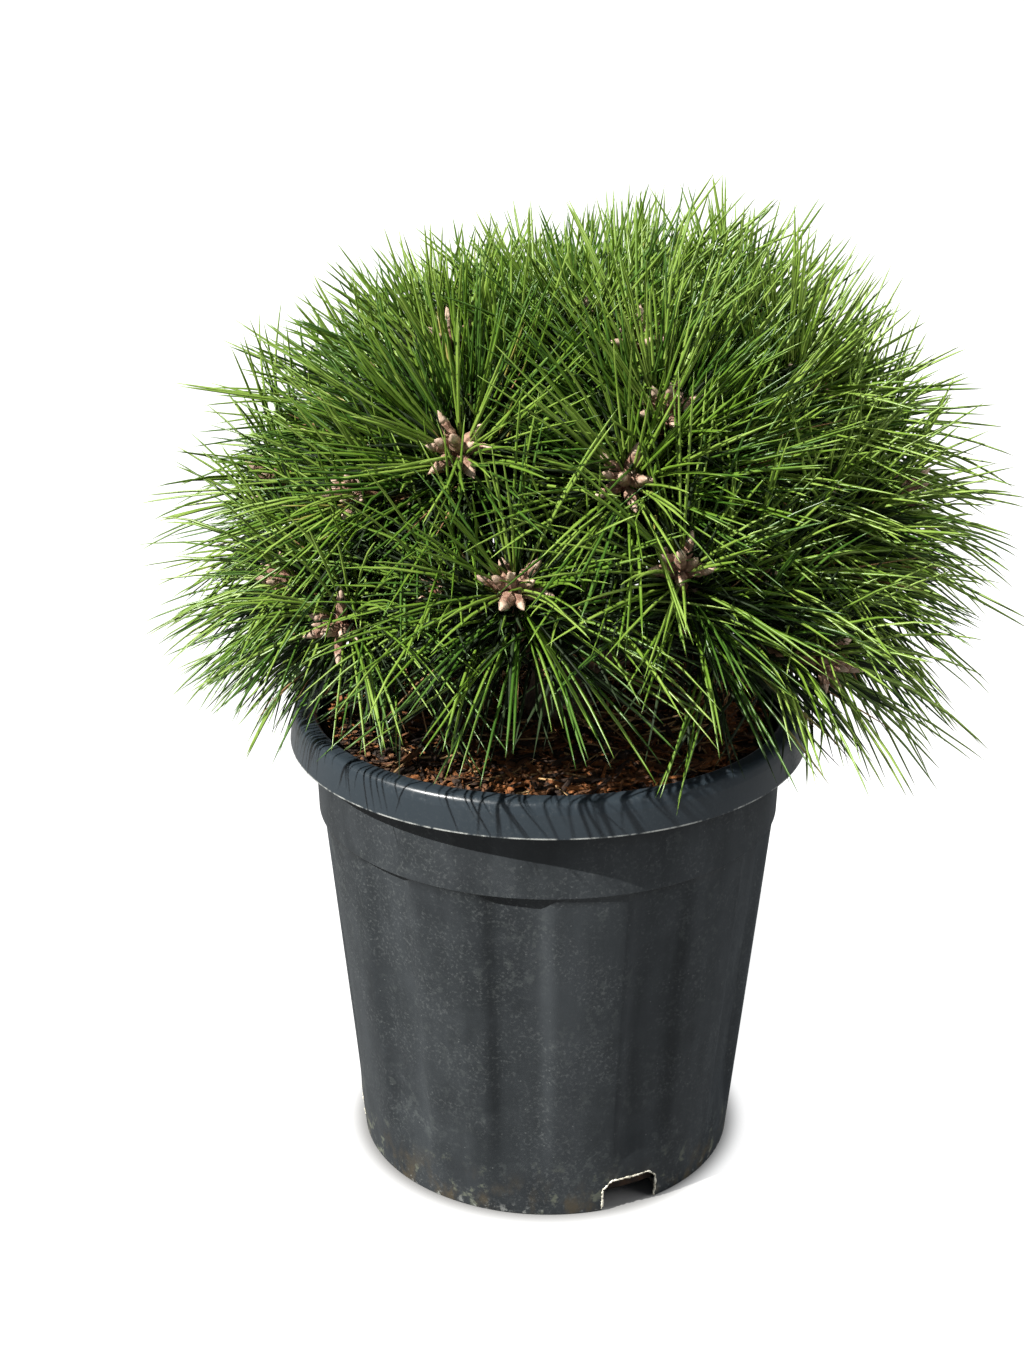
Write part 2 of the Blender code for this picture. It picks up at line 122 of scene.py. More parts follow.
@dataclass
class Shape:
    """A mesh as arrays: its points, the corners of its faces, and each face's corner count."""

    places: np.ndarray
    corners: np.ndarray
    counts: np.ndarray

    @classmethod
    def taken_from(cls, shape: bmesh.types.BMesh) -> "Shape":
        """Read a bmesh into arrays and free it.

        Args:
            shape: The mesh to read.

        Returns:
            The same mesh as arrays.
        """
        shape.verts.index_update()
        places = np.array([vertex.co[:] for vertex in shape.verts])
        corners = np.array([vertex.index for face in shape.faces for vertex in face.verts])
        counts = np.array([len(face.verts) for face in shape.faces])
        shape.free()
        return cls(places, corners, counts)

    def drawn_along(
        self, roots: np.ndarray, ways: np.ndarray, lengths: np.ndarray, widths: np.ndarray,
        bends: np.ndarray | None = None, rolls: np.ndarray | None = None, flats: float = 1.0,
    ) -> "Shape":
        """Copy the shape, which runs from z 0 to 1, once for each row, and join the copies.

        Args:
            roots: Where each copy starts.
            ways: The unit direction in which each leaves its root.
            lengths: The length of each.
            widths: What each copy's breadth is multiplied by.
            bends: How far each end is carried aside, as a share of the length.
            rolls: The turn of each about its own way.
            flats: What the second breadth is multiplied by.

        Returns:
            All copies in one shape.
        """
        count = len(roots)
        first, second = across(ways)
        if rolls is not None:
            turn = rolls[:, None]
            first, second = (
                np.cos(turn) * first + np.sin(turn) * second,
                np.cos(turn) * second - np.sin(turn) * first,
            )
        along = self.places[None, :, 2:3]
        span = lengths[:, None, None]
        places = roots[:, None, :] + ways[:, None, :] * along * span
        if bends is not None:
            places = places + bends[:, None, :] * span * along * along
        broad = widths[:, None, None]
        places = places + first[:, None, :] * self.places[None, :, 0:1] * broad
        places = places + second[:, None, :] * self.places[None, :, 1:2] * broad * flats
        shift = (np.arange(count) * len(self.places))[:, None]
        corners = (self.corners[None, :] + shift).reshape(-1)
        return Shape(places.reshape(-1, 3), corners, np.tile(self.counts, count))

    def joined_to(self, other: "Shape") -> "Shape":
        """Join another shape to this one.

        Args:
            other: The shape to add.

        Returns:
            Both in one shape.
        """
        return Shape(
            np.concatenate((self.places, other.places)),
            np.concatenate((self.corners, other.corners + len(self.places))),
            np.concatenate((self.counts, other.counts)),
        )

    def made(self, name: str, finish: bpy.types.Material, smooth: bool = True) -> bpy.types.Object:
        """Make an object of the shape.

        Args:
            name: The piece's name.
            finish: Its material.
            smooth: Whether its faces are shaded smooth.

        Returns:
            The new object, linked to the scene.
        """
        mesh = bpy.data.meshes.new(name)
        mesh.vertices.add(len(self.places))
        mesh.vertices.foreach_set("co", self.places.astype(np.float32).ravel())
        mesh.loops.add(len(self.corners))
        mesh.loops.foreach_set("vertex_index", self.corners.astype(np.int32))
        mesh.polygons.add(len(self.counts))
        starts = np.concatenate(((0,), np.cumsum(self.counts)[:-1]))
        mesh.polygons.foreach_set("loop_start", starts.astype(np.int32))
        mesh.update(calc_edges=True)
        mesh.polygons.foreach_set("use_smooth", np.full(len(self.counts), smooth))
        return new_object(name, mesh, finish)


def new_object(name: str, mesh: bpy.types.Mesh, *finishes: bpy.types.Material) -> bpy.types.Object:
    """Link a mesh to the scene as an object at the origin.

    Args:
        name: The piece's name.
        mesh: Its mesh.
        finishes: The materials of its slots.

    Returns:
        The new object.
    """
    thing = bpy.data.objects.new(name, mesh)
    bpy.context.scene.collection.objects.link(thing)
    mesh.materials.clear()
    for finish in finishes:
        mesh.materials.append(finish)
    return thing


def object_from(
    name: str, shape: bmesh.types.BMesh, *finishes: bpy.types.Material, smooth: bool = True
) -> bpy.types.Object:
    """Make an object of a bmesh and free the bmesh.

    Args:
        name: The piece's name.
        shape: The mesh to use.
        finishes: The materials of its slots.
        smooth: Whether its faces are shaded smooth.

    Returns:
        The new object, linked to the scene.
    """
    mesh = bpy.data.meshes.new(name)
    for face in shape.faces:
        face.smooth = smooth
    shape.to_mesh(mesh)
    shape.free()
    return new_object(name, mesh, *finishes)


def swept(
    path: list[Vector], radii: list[float], sides: int, shape: bmesh.types.BMesh | None = None
) -> bmesh.types.BMesh:
    """Extrude a ring along a path, with a radius at each point, and close both ends.

    Args:
        path: The points that the middle of the ring goes through.
        radii: The ring's radius at each of them.
        sides: How many sides the ring has.
        shape: A mesh to add to, or none for a new one.

    Returns:
        The mesh.
    """
    shape = shape or bmesh.new()
    ways = [(end - start).normalized() for start, end in zip(path, path[1:])]
    ways = [ways[0]] + [(a + b).normalized() for a, b in zip(ways, ways[1:])] + [ways[-1]]
    turn = ways[0].to_track_quat("Z", "Y")
    place = Matrix.LocRotScale(path[0], turn, Vector((radii[0],) * 3))
    made = bmesh.ops.create_circle(shape, cap_ends=False, segments=sides, radius=1.0, matrix=place)
    ring = made["verts"]
    edges = list({edge for vertex in ring for edge in vertex.link_edges})
    first = edges
    for number in range(1, len(path)):
        turn = ways[number - 1].rotation_difference(ways[number]) @ turn
        after = Matrix.LocRotScale(path[number], turn, Vector((radii[number],) * 3))
        made = bmesh.ops.extrude_edge_only(shape, edges=edges)["geom"]
        ring = [part for part in made if isinstance(part, bmesh.types.BMVert)]
        edges = [part for part in made if isinstance(part, bmesh.types.BMEdge)]
        bmesh.ops.transform(shape, matrix=after @ place.inverted(), verts=ring)
        place = after
    bmesh.ops.holes_fill(shape, edges=first + edges, sides=0)
    return shape


PLAIN_BLADE = ((0.0, 0.8), (0.3, 1.0), (0.7, 0.9), (1.0, 0.1))


def spindle(sides: int, stations: tuple[Pair, ...]) -> Shape:
    """Make a slim form along z from 0 to 1, the pattern of a needle, a bud or a chip.

    Args:
        sides: How many sides it has.
        stations: Height and radius of each ring.

    Returns:
        The form as arrays.
    """
    path = [Vector((0.0, 0.0, height)) for height, _ in stations]
    shape = swept(path, [radius for _, radius in stations], sides)
    bmesh.ops.recalc_face_normals(shape, faces=shape.faces)
    return Shape.taken_from(shape)


def lathe(section: list[Pair], steps: int, cuts: dict[int, int]) -> bmesh.types.BMesh:
    """Spin a section of radius and height round the upright axis.

    Args:
        section: The section's points, from axis to axis.
        steps: How many steps the full turn has.
        cuts: How many cuts the stretch after a point gets, by the point's number.

    Returns:
        The closed mesh.
    """
    shape = bmesh.new()
    points = [shape.verts.new((radius, 0.0, height)) for radius, height in section]
    edges = [shape.edges.new(pair) for pair in zip(points, points[1:])]
    for number, count in cuts.items():
        bmesh.ops.subdivide_edges(shape, edges=[edges[number]], cuts=count)
    bmesh.ops.spin(
        shape, geom=shape.verts[:] + shape.edges[:], cent=(0, 0, 0), axis=(0, 0, 1),
        angle=math.tau, steps=steps, use_merge=True,
    )
    bmesh.ops.remove_doubles(shape, verts=shape.verts, dist=WELD)
    bmesh.ops.recalc_face_normals(shape, faces=shape.faces)
    return shape


def filleted(corners: list[Triple], steps: int = 5) -> list[Pair]:
    """Round the corners of a section with arcs.

    Args:
        corners: Radius, height and fillet radius of each corner.
        steps: How many steps an arc has.

    Returns:
        The section's points.
    """
    points = []
    for number, (radius, height, fillet) in enumerate(corners):
        here = Vector((radius, height))
        if not fillet or number in (0, len(corners) - 1):
            points.append(tuple(here))
            continue
        before = (Vector(corners[number - 1][:2]) - here).normalized()
        after = (Vector(corners[number + 1][:2]) - here).normalized()
        half = 0.5 * before.angle(after)
        run = fillet / math.tan(half)
        middle = here + (before + after).normalized() * fillet / math.sin(half)
        start, end = here + before * run - middle, here + after * run - middle
        sweep = start.angle_signed(end)
        for step in range(steps + 1):
            spot = middle + Matrix.Rotation(-sweep * step / steps, 2) @ start
            points.append(tuple(spot))
    return points


# Materials


class Net:
    """Short calls that add and link the nodes of a material or a group."""

    def __init__(self, tree: bpy.types.NodeTree) -> None:
        """Take the tree that the nodes go in."""
        self.tree = tree

    def feed(self, socket: bpy.types.NodeSocket, given: Given) -> None:
        """Link an input to another socket, or set its own value.

        Args:
            socket: The input.
            given: A number, a colour, a direction or a socket.
        """
        if isinstance(given, bpy.types.NodeSocket):
            self.tree.links.new(given, socket)
        elif socket.type == "RGBA":
            socket.default_value = (*given, 1.0)
        else:
            socket.default_value = given

    def add(
        self, kind: str, inputs: dict[str | int, Given] | None = None, **settings: object
    ) -> bpy.types.Node:
        """Add a node.

        Args:
            kind: The node's type, without its ShaderNode beginning.
            inputs: Values or sockets by the name or number of the input.
            settings: Values of the node's own properties.

        Returns:
            The new node.
        """
        node = self.tree.nodes.new("ShaderNode" + kind)
        for name, value in settings.items():
            setattr(node, name, value)
        for name, given in (inputs or {}).items():
            self.feed(node.inputs[name], given)
        return node

    def where(self) -> bpy.types.NodeSocket:
        """Give the place on the object, in metres."""
        return self.add("TexCoord").outputs["Object"]

    def mix(self, share: Given, low: Given, high: Given) -> bpy.types.NodeSocket:
        """Mix two colours.

        Args:
            share: The share of the second colour.
            low: The first colour.
            high: The second colour.

        Returns:
            The mixed colour.
        """
        return self.add("Mix", {0: share, 6: low, 7: high}, data_type="RGBA").outputs[2]

    def between(
        self, given: Given, start: Given, end: Given, low: float = 0.0, high: float = 1.0
    ) -> bpy.types.NodeSocket:
        """Carry a value smoothly from one range to another.

        Args:
            given: The value to read.
            start: Where its range starts.
            end: Where its range ends.
            low: The result at the start.
            high: The result at the end.

        Returns:
            The socket of the result.
        """
        limits = {"Value": given, "From Min": start, "From Max": end, "To Min": low, "To Max": high}
        return self.add("MapRange", limits, interpolation_type="SMOOTHSTEP").outputs["Result"]

    def maths(self, operation: str, first: Given, second: Given) -> bpy.types.NodeSocket:
        """Work out one value from two."""
        return self.add("Math", {0: first, 1: second}, operation=operation).outputs[0]

    def times(self, first: Given, second: Given) -> bpy.types.NodeSocket:
        """Multiply two values."""
        return self.maths("MULTIPLY", first, second)

    def stretched(self, place: Given, stretch: Given) -> bpy.types.NodeSocket:
        """Multiply a place by a stretch, axis by axis."""
        return self.add("VectorMath", {0: place, 1: stretch}, operation="MULTIPLY").outputs[0]


class Groups:
    """The node groups that several materials share."""

    def __init__(self) -> None:
        """Build the groups."""
        self.mottle = self.build_mottle()
        self.specks = self.build_specks()
        self.relief = self.build_relief()

    @staticmethod
    def start(
        name: str, inputs: dict[str, float | Triple], output: str
    ) -> tuple[Net, bpy.types.Node, bpy.types.Node]:
        """Make a group with its sockets.

        Args:
            name: The group's name.
            inputs: First value by the input's name: a number, or three for a vector.
            output: The name of the one output, a number.

        Returns:
            The group's net, and its input and output nodes.
        """
        tree = bpy.data.node_groups.new(name, "ShaderNodeTree")
        for title, value in inputs.items():
            kind = "NodeSocketFloat" if isinstance(value, float) else "NodeSocketVector"
            socket = tree.interface.new_socket(name=title, in_out="INPUT", socket_type=kind)
            socket.default_value = value
        tree.interface.new_socket(name=output, in_out="OUTPUT", socket_type="NodeSocketFloat")
        return Net(tree), tree.nodes.new("NodeGroupInput"), tree.nodes.new("NodeGroupOutput")

    def build_mottle(self) -> bpy.types.NodeTree:
        """Build the group of soft patches: a stretched noise cut to a range.

        Returns:
            The group's tree.
        """
        inputs = {
            "Place": (0.0, 0.0, 0.0), "Stretch": (1.0, 1.0, 1.0),
            "Scale": 40.0, "Start": 0.35, "End": 0.65,
        }
        net, given, result = self.start("mottle", inputs, "Mask")
        given = given.outputs
        look = {
            "Vector": net.stretched(given["Place"], given["Stretch"]),
            "Scale": given["Scale"], "Detail": 5.0, "Roughness": 0.6,
        }
        cloud = net.add("TexNoise", look).outputs["Fac"]
        net.feed(result.inputs["Mask"], net.between(cloud, given["Start"], given["End"]))
        return net.tree

    def build_specks(self) -> bpy.types.NodeTree:
        """Build the group of specks: small round dots, in some of the cells only.

        Returns:
            The group's tree.
        """
        inputs = {"Place": (0.0, 0.0, 0.0), "Scale": 200.0, "Size": 0.3, "Share": 0.4}
        net, given, result = self.start("specks", inputs, "Mask")
        given = given.outputs
        cells = net.add("TexVoronoi", {"Vector": given["Place"], "Scale": given["Scale"]})
        dot = net.between(cells.outputs["Distance"], given["Size"], 0.0)
        pick = net.add("SeparateColor", {"Color": cells.outputs["Color"]}).outputs["Red"]
        some = net.maths("LESS_THAN", pick, given["Share"])
        net.feed(result.inputs["Mask"], net.times(dot, some))
        return net.tree

    def build_relief(self) -> bpy.types.NodeTree:
        """Build the group of fine relief: a coarse and a fine noise added up.

        Returns:
            The group's tree.
        """
        inputs = {"Place": (0.0, 0.0, 0.0), "Stretch": (1.0, 1.0, 1.0), "Scale": 200.0}
        net, given, result = self.start("relief", inputs, "Height")
        given = given.outputs
        place = net.stretched(given["Place"], given["Stretch"])
        finer = net.times(given["Scale"], 4.0)
        coarse, fine = (
            net.add("TexNoise", {"Vector": place, "Scale": scale, "Detail": detail}).outputs["Fac"]
            for scale, detail in ((given["Scale"], 3.0), (finer, 2.0))
        )
        net.feed(result.inputs["Height"], net.maths("ADD", coarse, net.times(fine, 0.4)))
        return net.tree


@dataclass(frozen=True)
class Patches:
    """Soft patches: how many in a metre, the noise where one starts and is full, a stretch."""

    scale: float
    start: float = 0.35
    end: float = 0.65
    stretch: Triple = (1.0, 1.0, 1.0)


class Surface:
    """A material being made: its net, its shader and the place on the object."""

    def __init__(self, name: str, groups: Groups) -> None:
        """Start a material with a Principled shader.

        Args:
            name: The material's name.
            groups: The shared node groups.
        """
        self.material = bpy.data.materials.new(name)
        self.material.use_nodes = True
        self.net = Net(self.material.node_tree)
        self.shader = self.material.node_tree.nodes["Principled BSDF"]
        self.groups = groups
        self.place = self.net.where()

    def mottle(self, patches: Patches) -> bpy.types.NodeSocket:
        """Add soft patches.

        Args:
            patches: Their size, their edges and their stretch.

        Returns:
            The socket of the mask.
        """
        given = {
            "Place": self.place, "Scale": patches.scale, "Start": patches.start,
            "End": patches.end, "Stretch": patches.stretch,
        }
        return self.net.add("Group", given, node_tree=self.groups.mottle).outputs["Mask"]

    def specks(self, scale: float, size: float, share: float) -> bpy.types.NodeSocket:
        """Add specks.

        Args:
            scale: How many cells there are in a metre.
            size: A speck's radius, in cells.
            share: The share of cells with a speck.

        Returns:
            The socket of the mask.
        """
        given = {"Place": self.place, "Scale": scale, "Size": size, "Share": share}
        return self.net.add("Group", given, node_tree=self.groups.specks).outputs["Mask"]

    def set(self, name: str, given: Given) -> None:
        """Set or link one input of the shader."""
        self.net.feed(self.shader.inputs[name], given)

    def bump(self, scale: float, distance: float, strength: float, stretch: Triple) -> None:
        """Add fine relief to the normal.

        Args:
            scale: How many grains there are in a metre, roughly.
            distance: How high they are.
            strength: How strongly they show.
            stretch: What each axis is multiplied by.
        """
        given = {"Place": self.place, "Scale": scale, "Stretch": stretch}
        height = self.net.add("Group", given, node_tree=self.groups.relief).outputs["Height"]
        bump = self.net.add("Bump", {"Height": height, "Distance": distance, "Strength": strength})
        self.set("Normal", bump.outputs["Normal"])


@dataclass(frozen=True)
class Fibre:
    """A plant surface of two close tones in fine patches: needles, bark, buds, chips."""

    name: str
    dark: Triple
    light: Triple
    scale: float = 120.0
    stretch: Triple = (1.0, 1.0, 1.0)
    roughness: Pair = (0.7, 0.9)
    relief: float = 0.0003
    gloss: float = 0.3
    edges: Pair = (0.3, 0.7)
    grain: float = 6.0
    grain_strength: float = 0.5

    def material(self, groups: Groups) -> bpy.types.Material:
        """Build the material.

        Args:
            groups: The shared node groups.

        Returns:
            The material.
        """
        surface = Surface(self.name, groups)
        patches = surface.mottle(Patches(self.scale, *self.edges, self.stretch))
        surface.set("Base Color", surface.net.mix(patches, self.dark, self.light))
        surface.set("Roughness", surface.net.between(patches, 0.0, 1.0, *self.roughness))
        surface.set("Specular IOR Level", self.gloss)
        surface.bump(self.scale * self.grain, self.relief, self.grain_strength, self.stretch)
        return surface.material


@dataclass(frozen=True)
class PotPlastic:
    """Dusty dark slate plastic with dirt and wear at the foot, and with painted light:
    a pale highlight along the lip's lower edge, and a blue tint on the rim that paints the sky's
    reflection.

    The fields that end in shares hold one share for the wall and one for the rim. Those
    that end in heights say where a mark fades in and where it is full.
    """

    lip_foot: float
    dark: Triple = (0.0092, 0.0118, 0.0140)
    dusty: Triple = (0.0305, 0.0355, 0.040)
    # The rim's own tone, with less dust than the wall, tinted blue as a painted reflection of the
    # sky on the glossy roll.
    rim: Triple = (0.0175, 0.0245, 0.0310)
    speck: Triple = (0.12, 0.13, 0.13)
    # Pale tone of the wear at the foot, and of the painted highlight along the lip's lower edge.
    wear_and_lip_highlight: Triple = (0.27, 0.28, 0.27)
    dirt: Triple = (0.050, 0.040, 0.024)
    film: Triple = (0.052, 0.060, 0.059)
    moss: Triple = (0.105, 0.115, 0.085)
    streaks: Patches = Patches(22.0, 0.38, 0.72, (1.0, 1.0, 0.14))
    clouds: Patches = Patches(60.0, 0.35, 0.75)
    powder: Patches = Patches(620.0, 0.50, 0.70)
    powdery: Patches = Patches(35.0, 0.34, 0.62)
    powder_shares: Pair = (0.26, 0.08)
    blots: Patches = Patches(210.0, 0.53, 0.64)
    blotty: Patches = Patches(28.0, 0.42, 0.64)
    blot_shares: Pair = (0.36, 0.05)
    dots: Triple = (430.0, 0.24, 0.06)
    dot_shares: Pair = (0.6, 0.2)
    soiled: Patches = Patches(75.0, 0.46, 0.66, (1.0, 1.0, 0.6))
    soil_heights: Pair = (0.030, 0.0)
    mossy: Patches = Patches(120.0, 0.57, 0.66)
    moss_heights: Pair = (0.040, 0.004)
    scuffs: Patches = Patches(240.0, 0.57, 0.67)
    scuff_heights: Pair = (0.008, 0.0)
    # Patches and heights of the painted highlight, a pale line along the lip's lower edge.
    lip_highlight_patches: Patches = Patches(90.0, 0.40, 0.55, (1.0, 1.0, 0.0))
    lip_highlight_heights: tuple[Pair, Pair] = ((-0.0004, 0.0), (0.0012, 0.0006))
    rim_fade: float = 0.001
    gloss: float = 0.32
    rough_shares: Pair = (0.62, 0.29)
    rough_powder: Pair = (0.5, 0.8)
    relief: tuple[float, float, float, Triple] = (320.0, 0.00012, 0.25, (1.0, 1.0, 0.5))

    def material(self, groups: Groups) -> bpy.types.Material:
        """Build the material, coat by coat.

        Args:
            groups: The shared node groups.

        Returns:
            The material.
        """
        surface = Surface("dusty_pot_plastic", groups)
        net, mottle = surface.net, surface.mottle
        height = net.add("SeparateXYZ", {"Vector": surface.place}).outputs["Z"]
        on_rim = net.between(height, self.lip_foot - self.rim_fade, self.lip_foot + self.rim_fade)
        powder = net.times(mottle(self.powder), mottle(self.powdery))
        blots = net.times(mottle(self.blots), mottle(self.blotty))
        powder_share, blot_share, dot_share = (
            net.between(on_rim, 0.0, 1.0, *shares)
            for shares in (self.powder_shares, self.blot_shares, self.dot_shares)
        )
        soiled, mossy, scuffs = (
            net.times(net.between(height, *heights), mottle(patches))
            for heights, patches in (
                (self.soil_heights, self.soiled), (self.moss_heights, self.mossy),
                (self.scuff_heights, self.scuffs),
            )
        )
        # The narrow band round the lip's lower edge that takes the painted highlight.
        above, below = (
            net.between(height, self.lip_foot + start, self.lip_foot + end)
            for start, end in self.lip_highlight_heights
        )
        coats = (
            (mottle(self.streaks), 0.75, self.dusty),
            (mottle(self.clouds), 0.35, self.dusty),
            # Rim tone: less dust, plus a blue tint that is a painted sky reflection.
            (on_rim, 0.8, self.rim),
            (powder, powder_share, self.speck),
            (blots, blot_share, self.film),
            (surface.specks(*self.dots), dot_share, self.speck),
            (soiled, 0.8, self.dirt),
            (mossy, 0.6, self.moss),
            (scuffs, 0.5, self.wear_and_lip_highlight),
            # Painted highlight along the lip's lower edge, in patches.
            (net.times(above, below), mottle(self.lip_highlight_patches), self.wear_and_lip_highlight),
        )
        colour = self.dark
        for mask, share, tone in coats:
            colour = net.mix(net.times(mask, share), colour, tone)
        surface.set("Base Color", colour)
        surface.set("Specular IOR Level", self.gloss)
        rough = net.mix(on_rim, *((share,) * 3 for share in self.rough_shares))
        share, powder_rough = self.rough_powder
        rough = net.mix(net.times(powder, share), rough, (powder_rough,) * 3)
        surface.set("Roughness", net.add("RGBToBW", {"Color": rough}).outputs[0])
        surface.bump(*self.relief)
        return surface.material


@dataclass(frozen=True)
class PaleFloor:
    """Matt pale paint, very faintly uneven, that the camera sees a little brighter, with a painted
    shadow round the pot's foot.
    """

    tone: float = 0.13
    uneven: float = 0.01
    clouds: Patches = Patches(3.0)
    roughness: float = 0.95
    glow: float = 0.89
    # Radii between which the camera's glow fades in: inside them lies a painted shadow under the
    # pot, which also shows through its notches.
    foot: Pair = (0.094, 0.110)

    def material(self, groups: Groups) -> bpy.types.Material:
        """Build the material.

        Args:
            groups: The shared node groups.

        Returns:
            The material.
        """
        surface = Surface("pale_floor", groups)
        tones = ((self.tone - self.uneven,) * 3, (self.tone,) * 3)
        surface.set("Base Color", surface.net.mix(surface.mottle(self.clouds), *tones))
        surface.set("Roughness", self.roughness)
        out = surface.net.add("VectorMath", {0: surface.place}, operation="LENGTH").outputs["Value"]
        # No glow under and round the pot's foot: a painted shadow.
        outside_painted_foot_shadow = surface.net.between(out, *self.foot)
        surface.set("Emission Color", surface.net.mix(outside_painted_foot_shadow, (0.0,) * 3, (self.glow,) * 3))
        surface.set("Emission Strength", surface.net.add("LightPath").outputs["Is Camera Ray"])
        return surface.material


# Sub-assemblies


def report(piece: bpy.types.Object, slot: Slot, nodes: list[str] | None = None) -> bpy.types.Object:
    """Let a piece ride, hide the solids that it stands for, and log it.

    Args:
        piece: The finished piece.
        slot: Not used.
        nodes: The solids that it stands for.

    Returns:
        The piece.
    """
    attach(piece, BODY)
    if nodes:
        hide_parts(*nodes)
    LOG.info("%s: %d faces", piece.name, len(piece.data.polygons))
    return piece


def dressed(
    layer: Shape, finish: Fibre, groups: Groups, slot: Slot, nodes: list[str] | None = None,
    smooth: bool = True,
) -> None:
    """Make a piece of a shape, named after its finish, and report it.

    Args:
        layer: The piece's shape.
        finish: Its finish.
        groups: The shared node groups.
        slot: The record's slot that it takes its finish from.
        nodes: The solids that it stands for.
        smooth: Whether its faces are shaded smooth.
    """
    report(layer.made(finish.name, finish.material(groups), smooth), slot, nodes)


@dataclass
class Studio:
    """The camera, the floor and the light."""

    camera_place: Triple = (-0.0182, -1.0226, 0.6564)
    pitch: float = 0.3785
    lens: float = 57.69
    sight: float = 200.0
    floor_side: float = 80.0
    sun_way: Triple = (-0.63, -0.40, 0.67)
    sun_power: float = 11.5
    sun_spread: float = math.radians(0.7)
    sun_colour: Triple = (1.0, 0.975, 0.93)
    fill_way: Triple = (0.76, -0.22, 0.61)
    fill_power: float = 2.4
    back_way: Triple = (0.50, 0.78, 0.37)
    back_power: float = 3.0
    fill_spread: float = math.radians(40)
    sky: Triple = (0.28, 0.30, 0.32)

    def build(self, groups: Groups) -> None:
        """Set up the camera, the lights and the floor.

        Args:
            groups: The shared node groups.
        """
        scene = bpy.context.scene
        scene.view_settings.view_transform = "Standard"
        lens = bpy.data.cameras.new("camera")
        lens.lens = self.lens
        lens.clip_end = self.sight
        camera = bpy.data.objects.new("camera", lens)
        camera.location = self.camera_place
        camera.rotation_euler = (0.5 * math.pi - self.pitch, 0.0, 0.0)
        scene.collection.objects.link(camera)
        scene.camera = camera
        self.add_sun("key", self.sun_way, self.sun_power, self.sun_spread, self.sun_colour)
        for name, way, power in (
            ("fill", self.fill_way, self.fill_power), ("back", self.back_way, self.back_power),
        ):
            soft = self.add_sun(name, way, power, self.fill_spread, (1.0, 1.0, 1.0))
            soft.visible_glossy = False
        world = bpy.data.worlds.new("studio")
        world.use_nodes = True
        net = Net(world.node_tree)
        seen = net.add("LightPath").outputs["Is Camera Ray"]
        colour = net.mix(seen, self.sky, (1.0, 1.0, 1.0))
        net.tree.links.new(colour, net.tree.nodes["Background"].inputs["Color"])
        scene.world = world
        shape = bmesh.new()
        bmesh.ops.create_grid(shape, x_segments=1, y_segments=1, size=0.5 * self.floor_side)
        floor = object_from("floor", shape, PaleFloor().material(groups), smooth=False)

    @staticmethod
    def add_sun(
        name: str, way: Triple, power: float, spread: float,
        colour: Triple,
    ) -> bpy.types.Object:
        """Add a far light.

        Args:
            name: Its name.
            way: The direction that it stands in.
            power: Its strength.
            spread: The angle that it fills, which softens its shadows.
            colour: Its colour.

        Returns:
            The light.
        """
        lamp = bpy.data.lights.new(name, "SUN")
        lamp.energy, lamp.angle, lamp.color = power, spread, colour
        thing = bpy.data.objects.new(name, lamp)
        thing.rotation_euler = Vector(way).to_track_quat("Z", "Y").to_euler()
        bpy.context.scene.collection.objects.link(thing)
        return thing


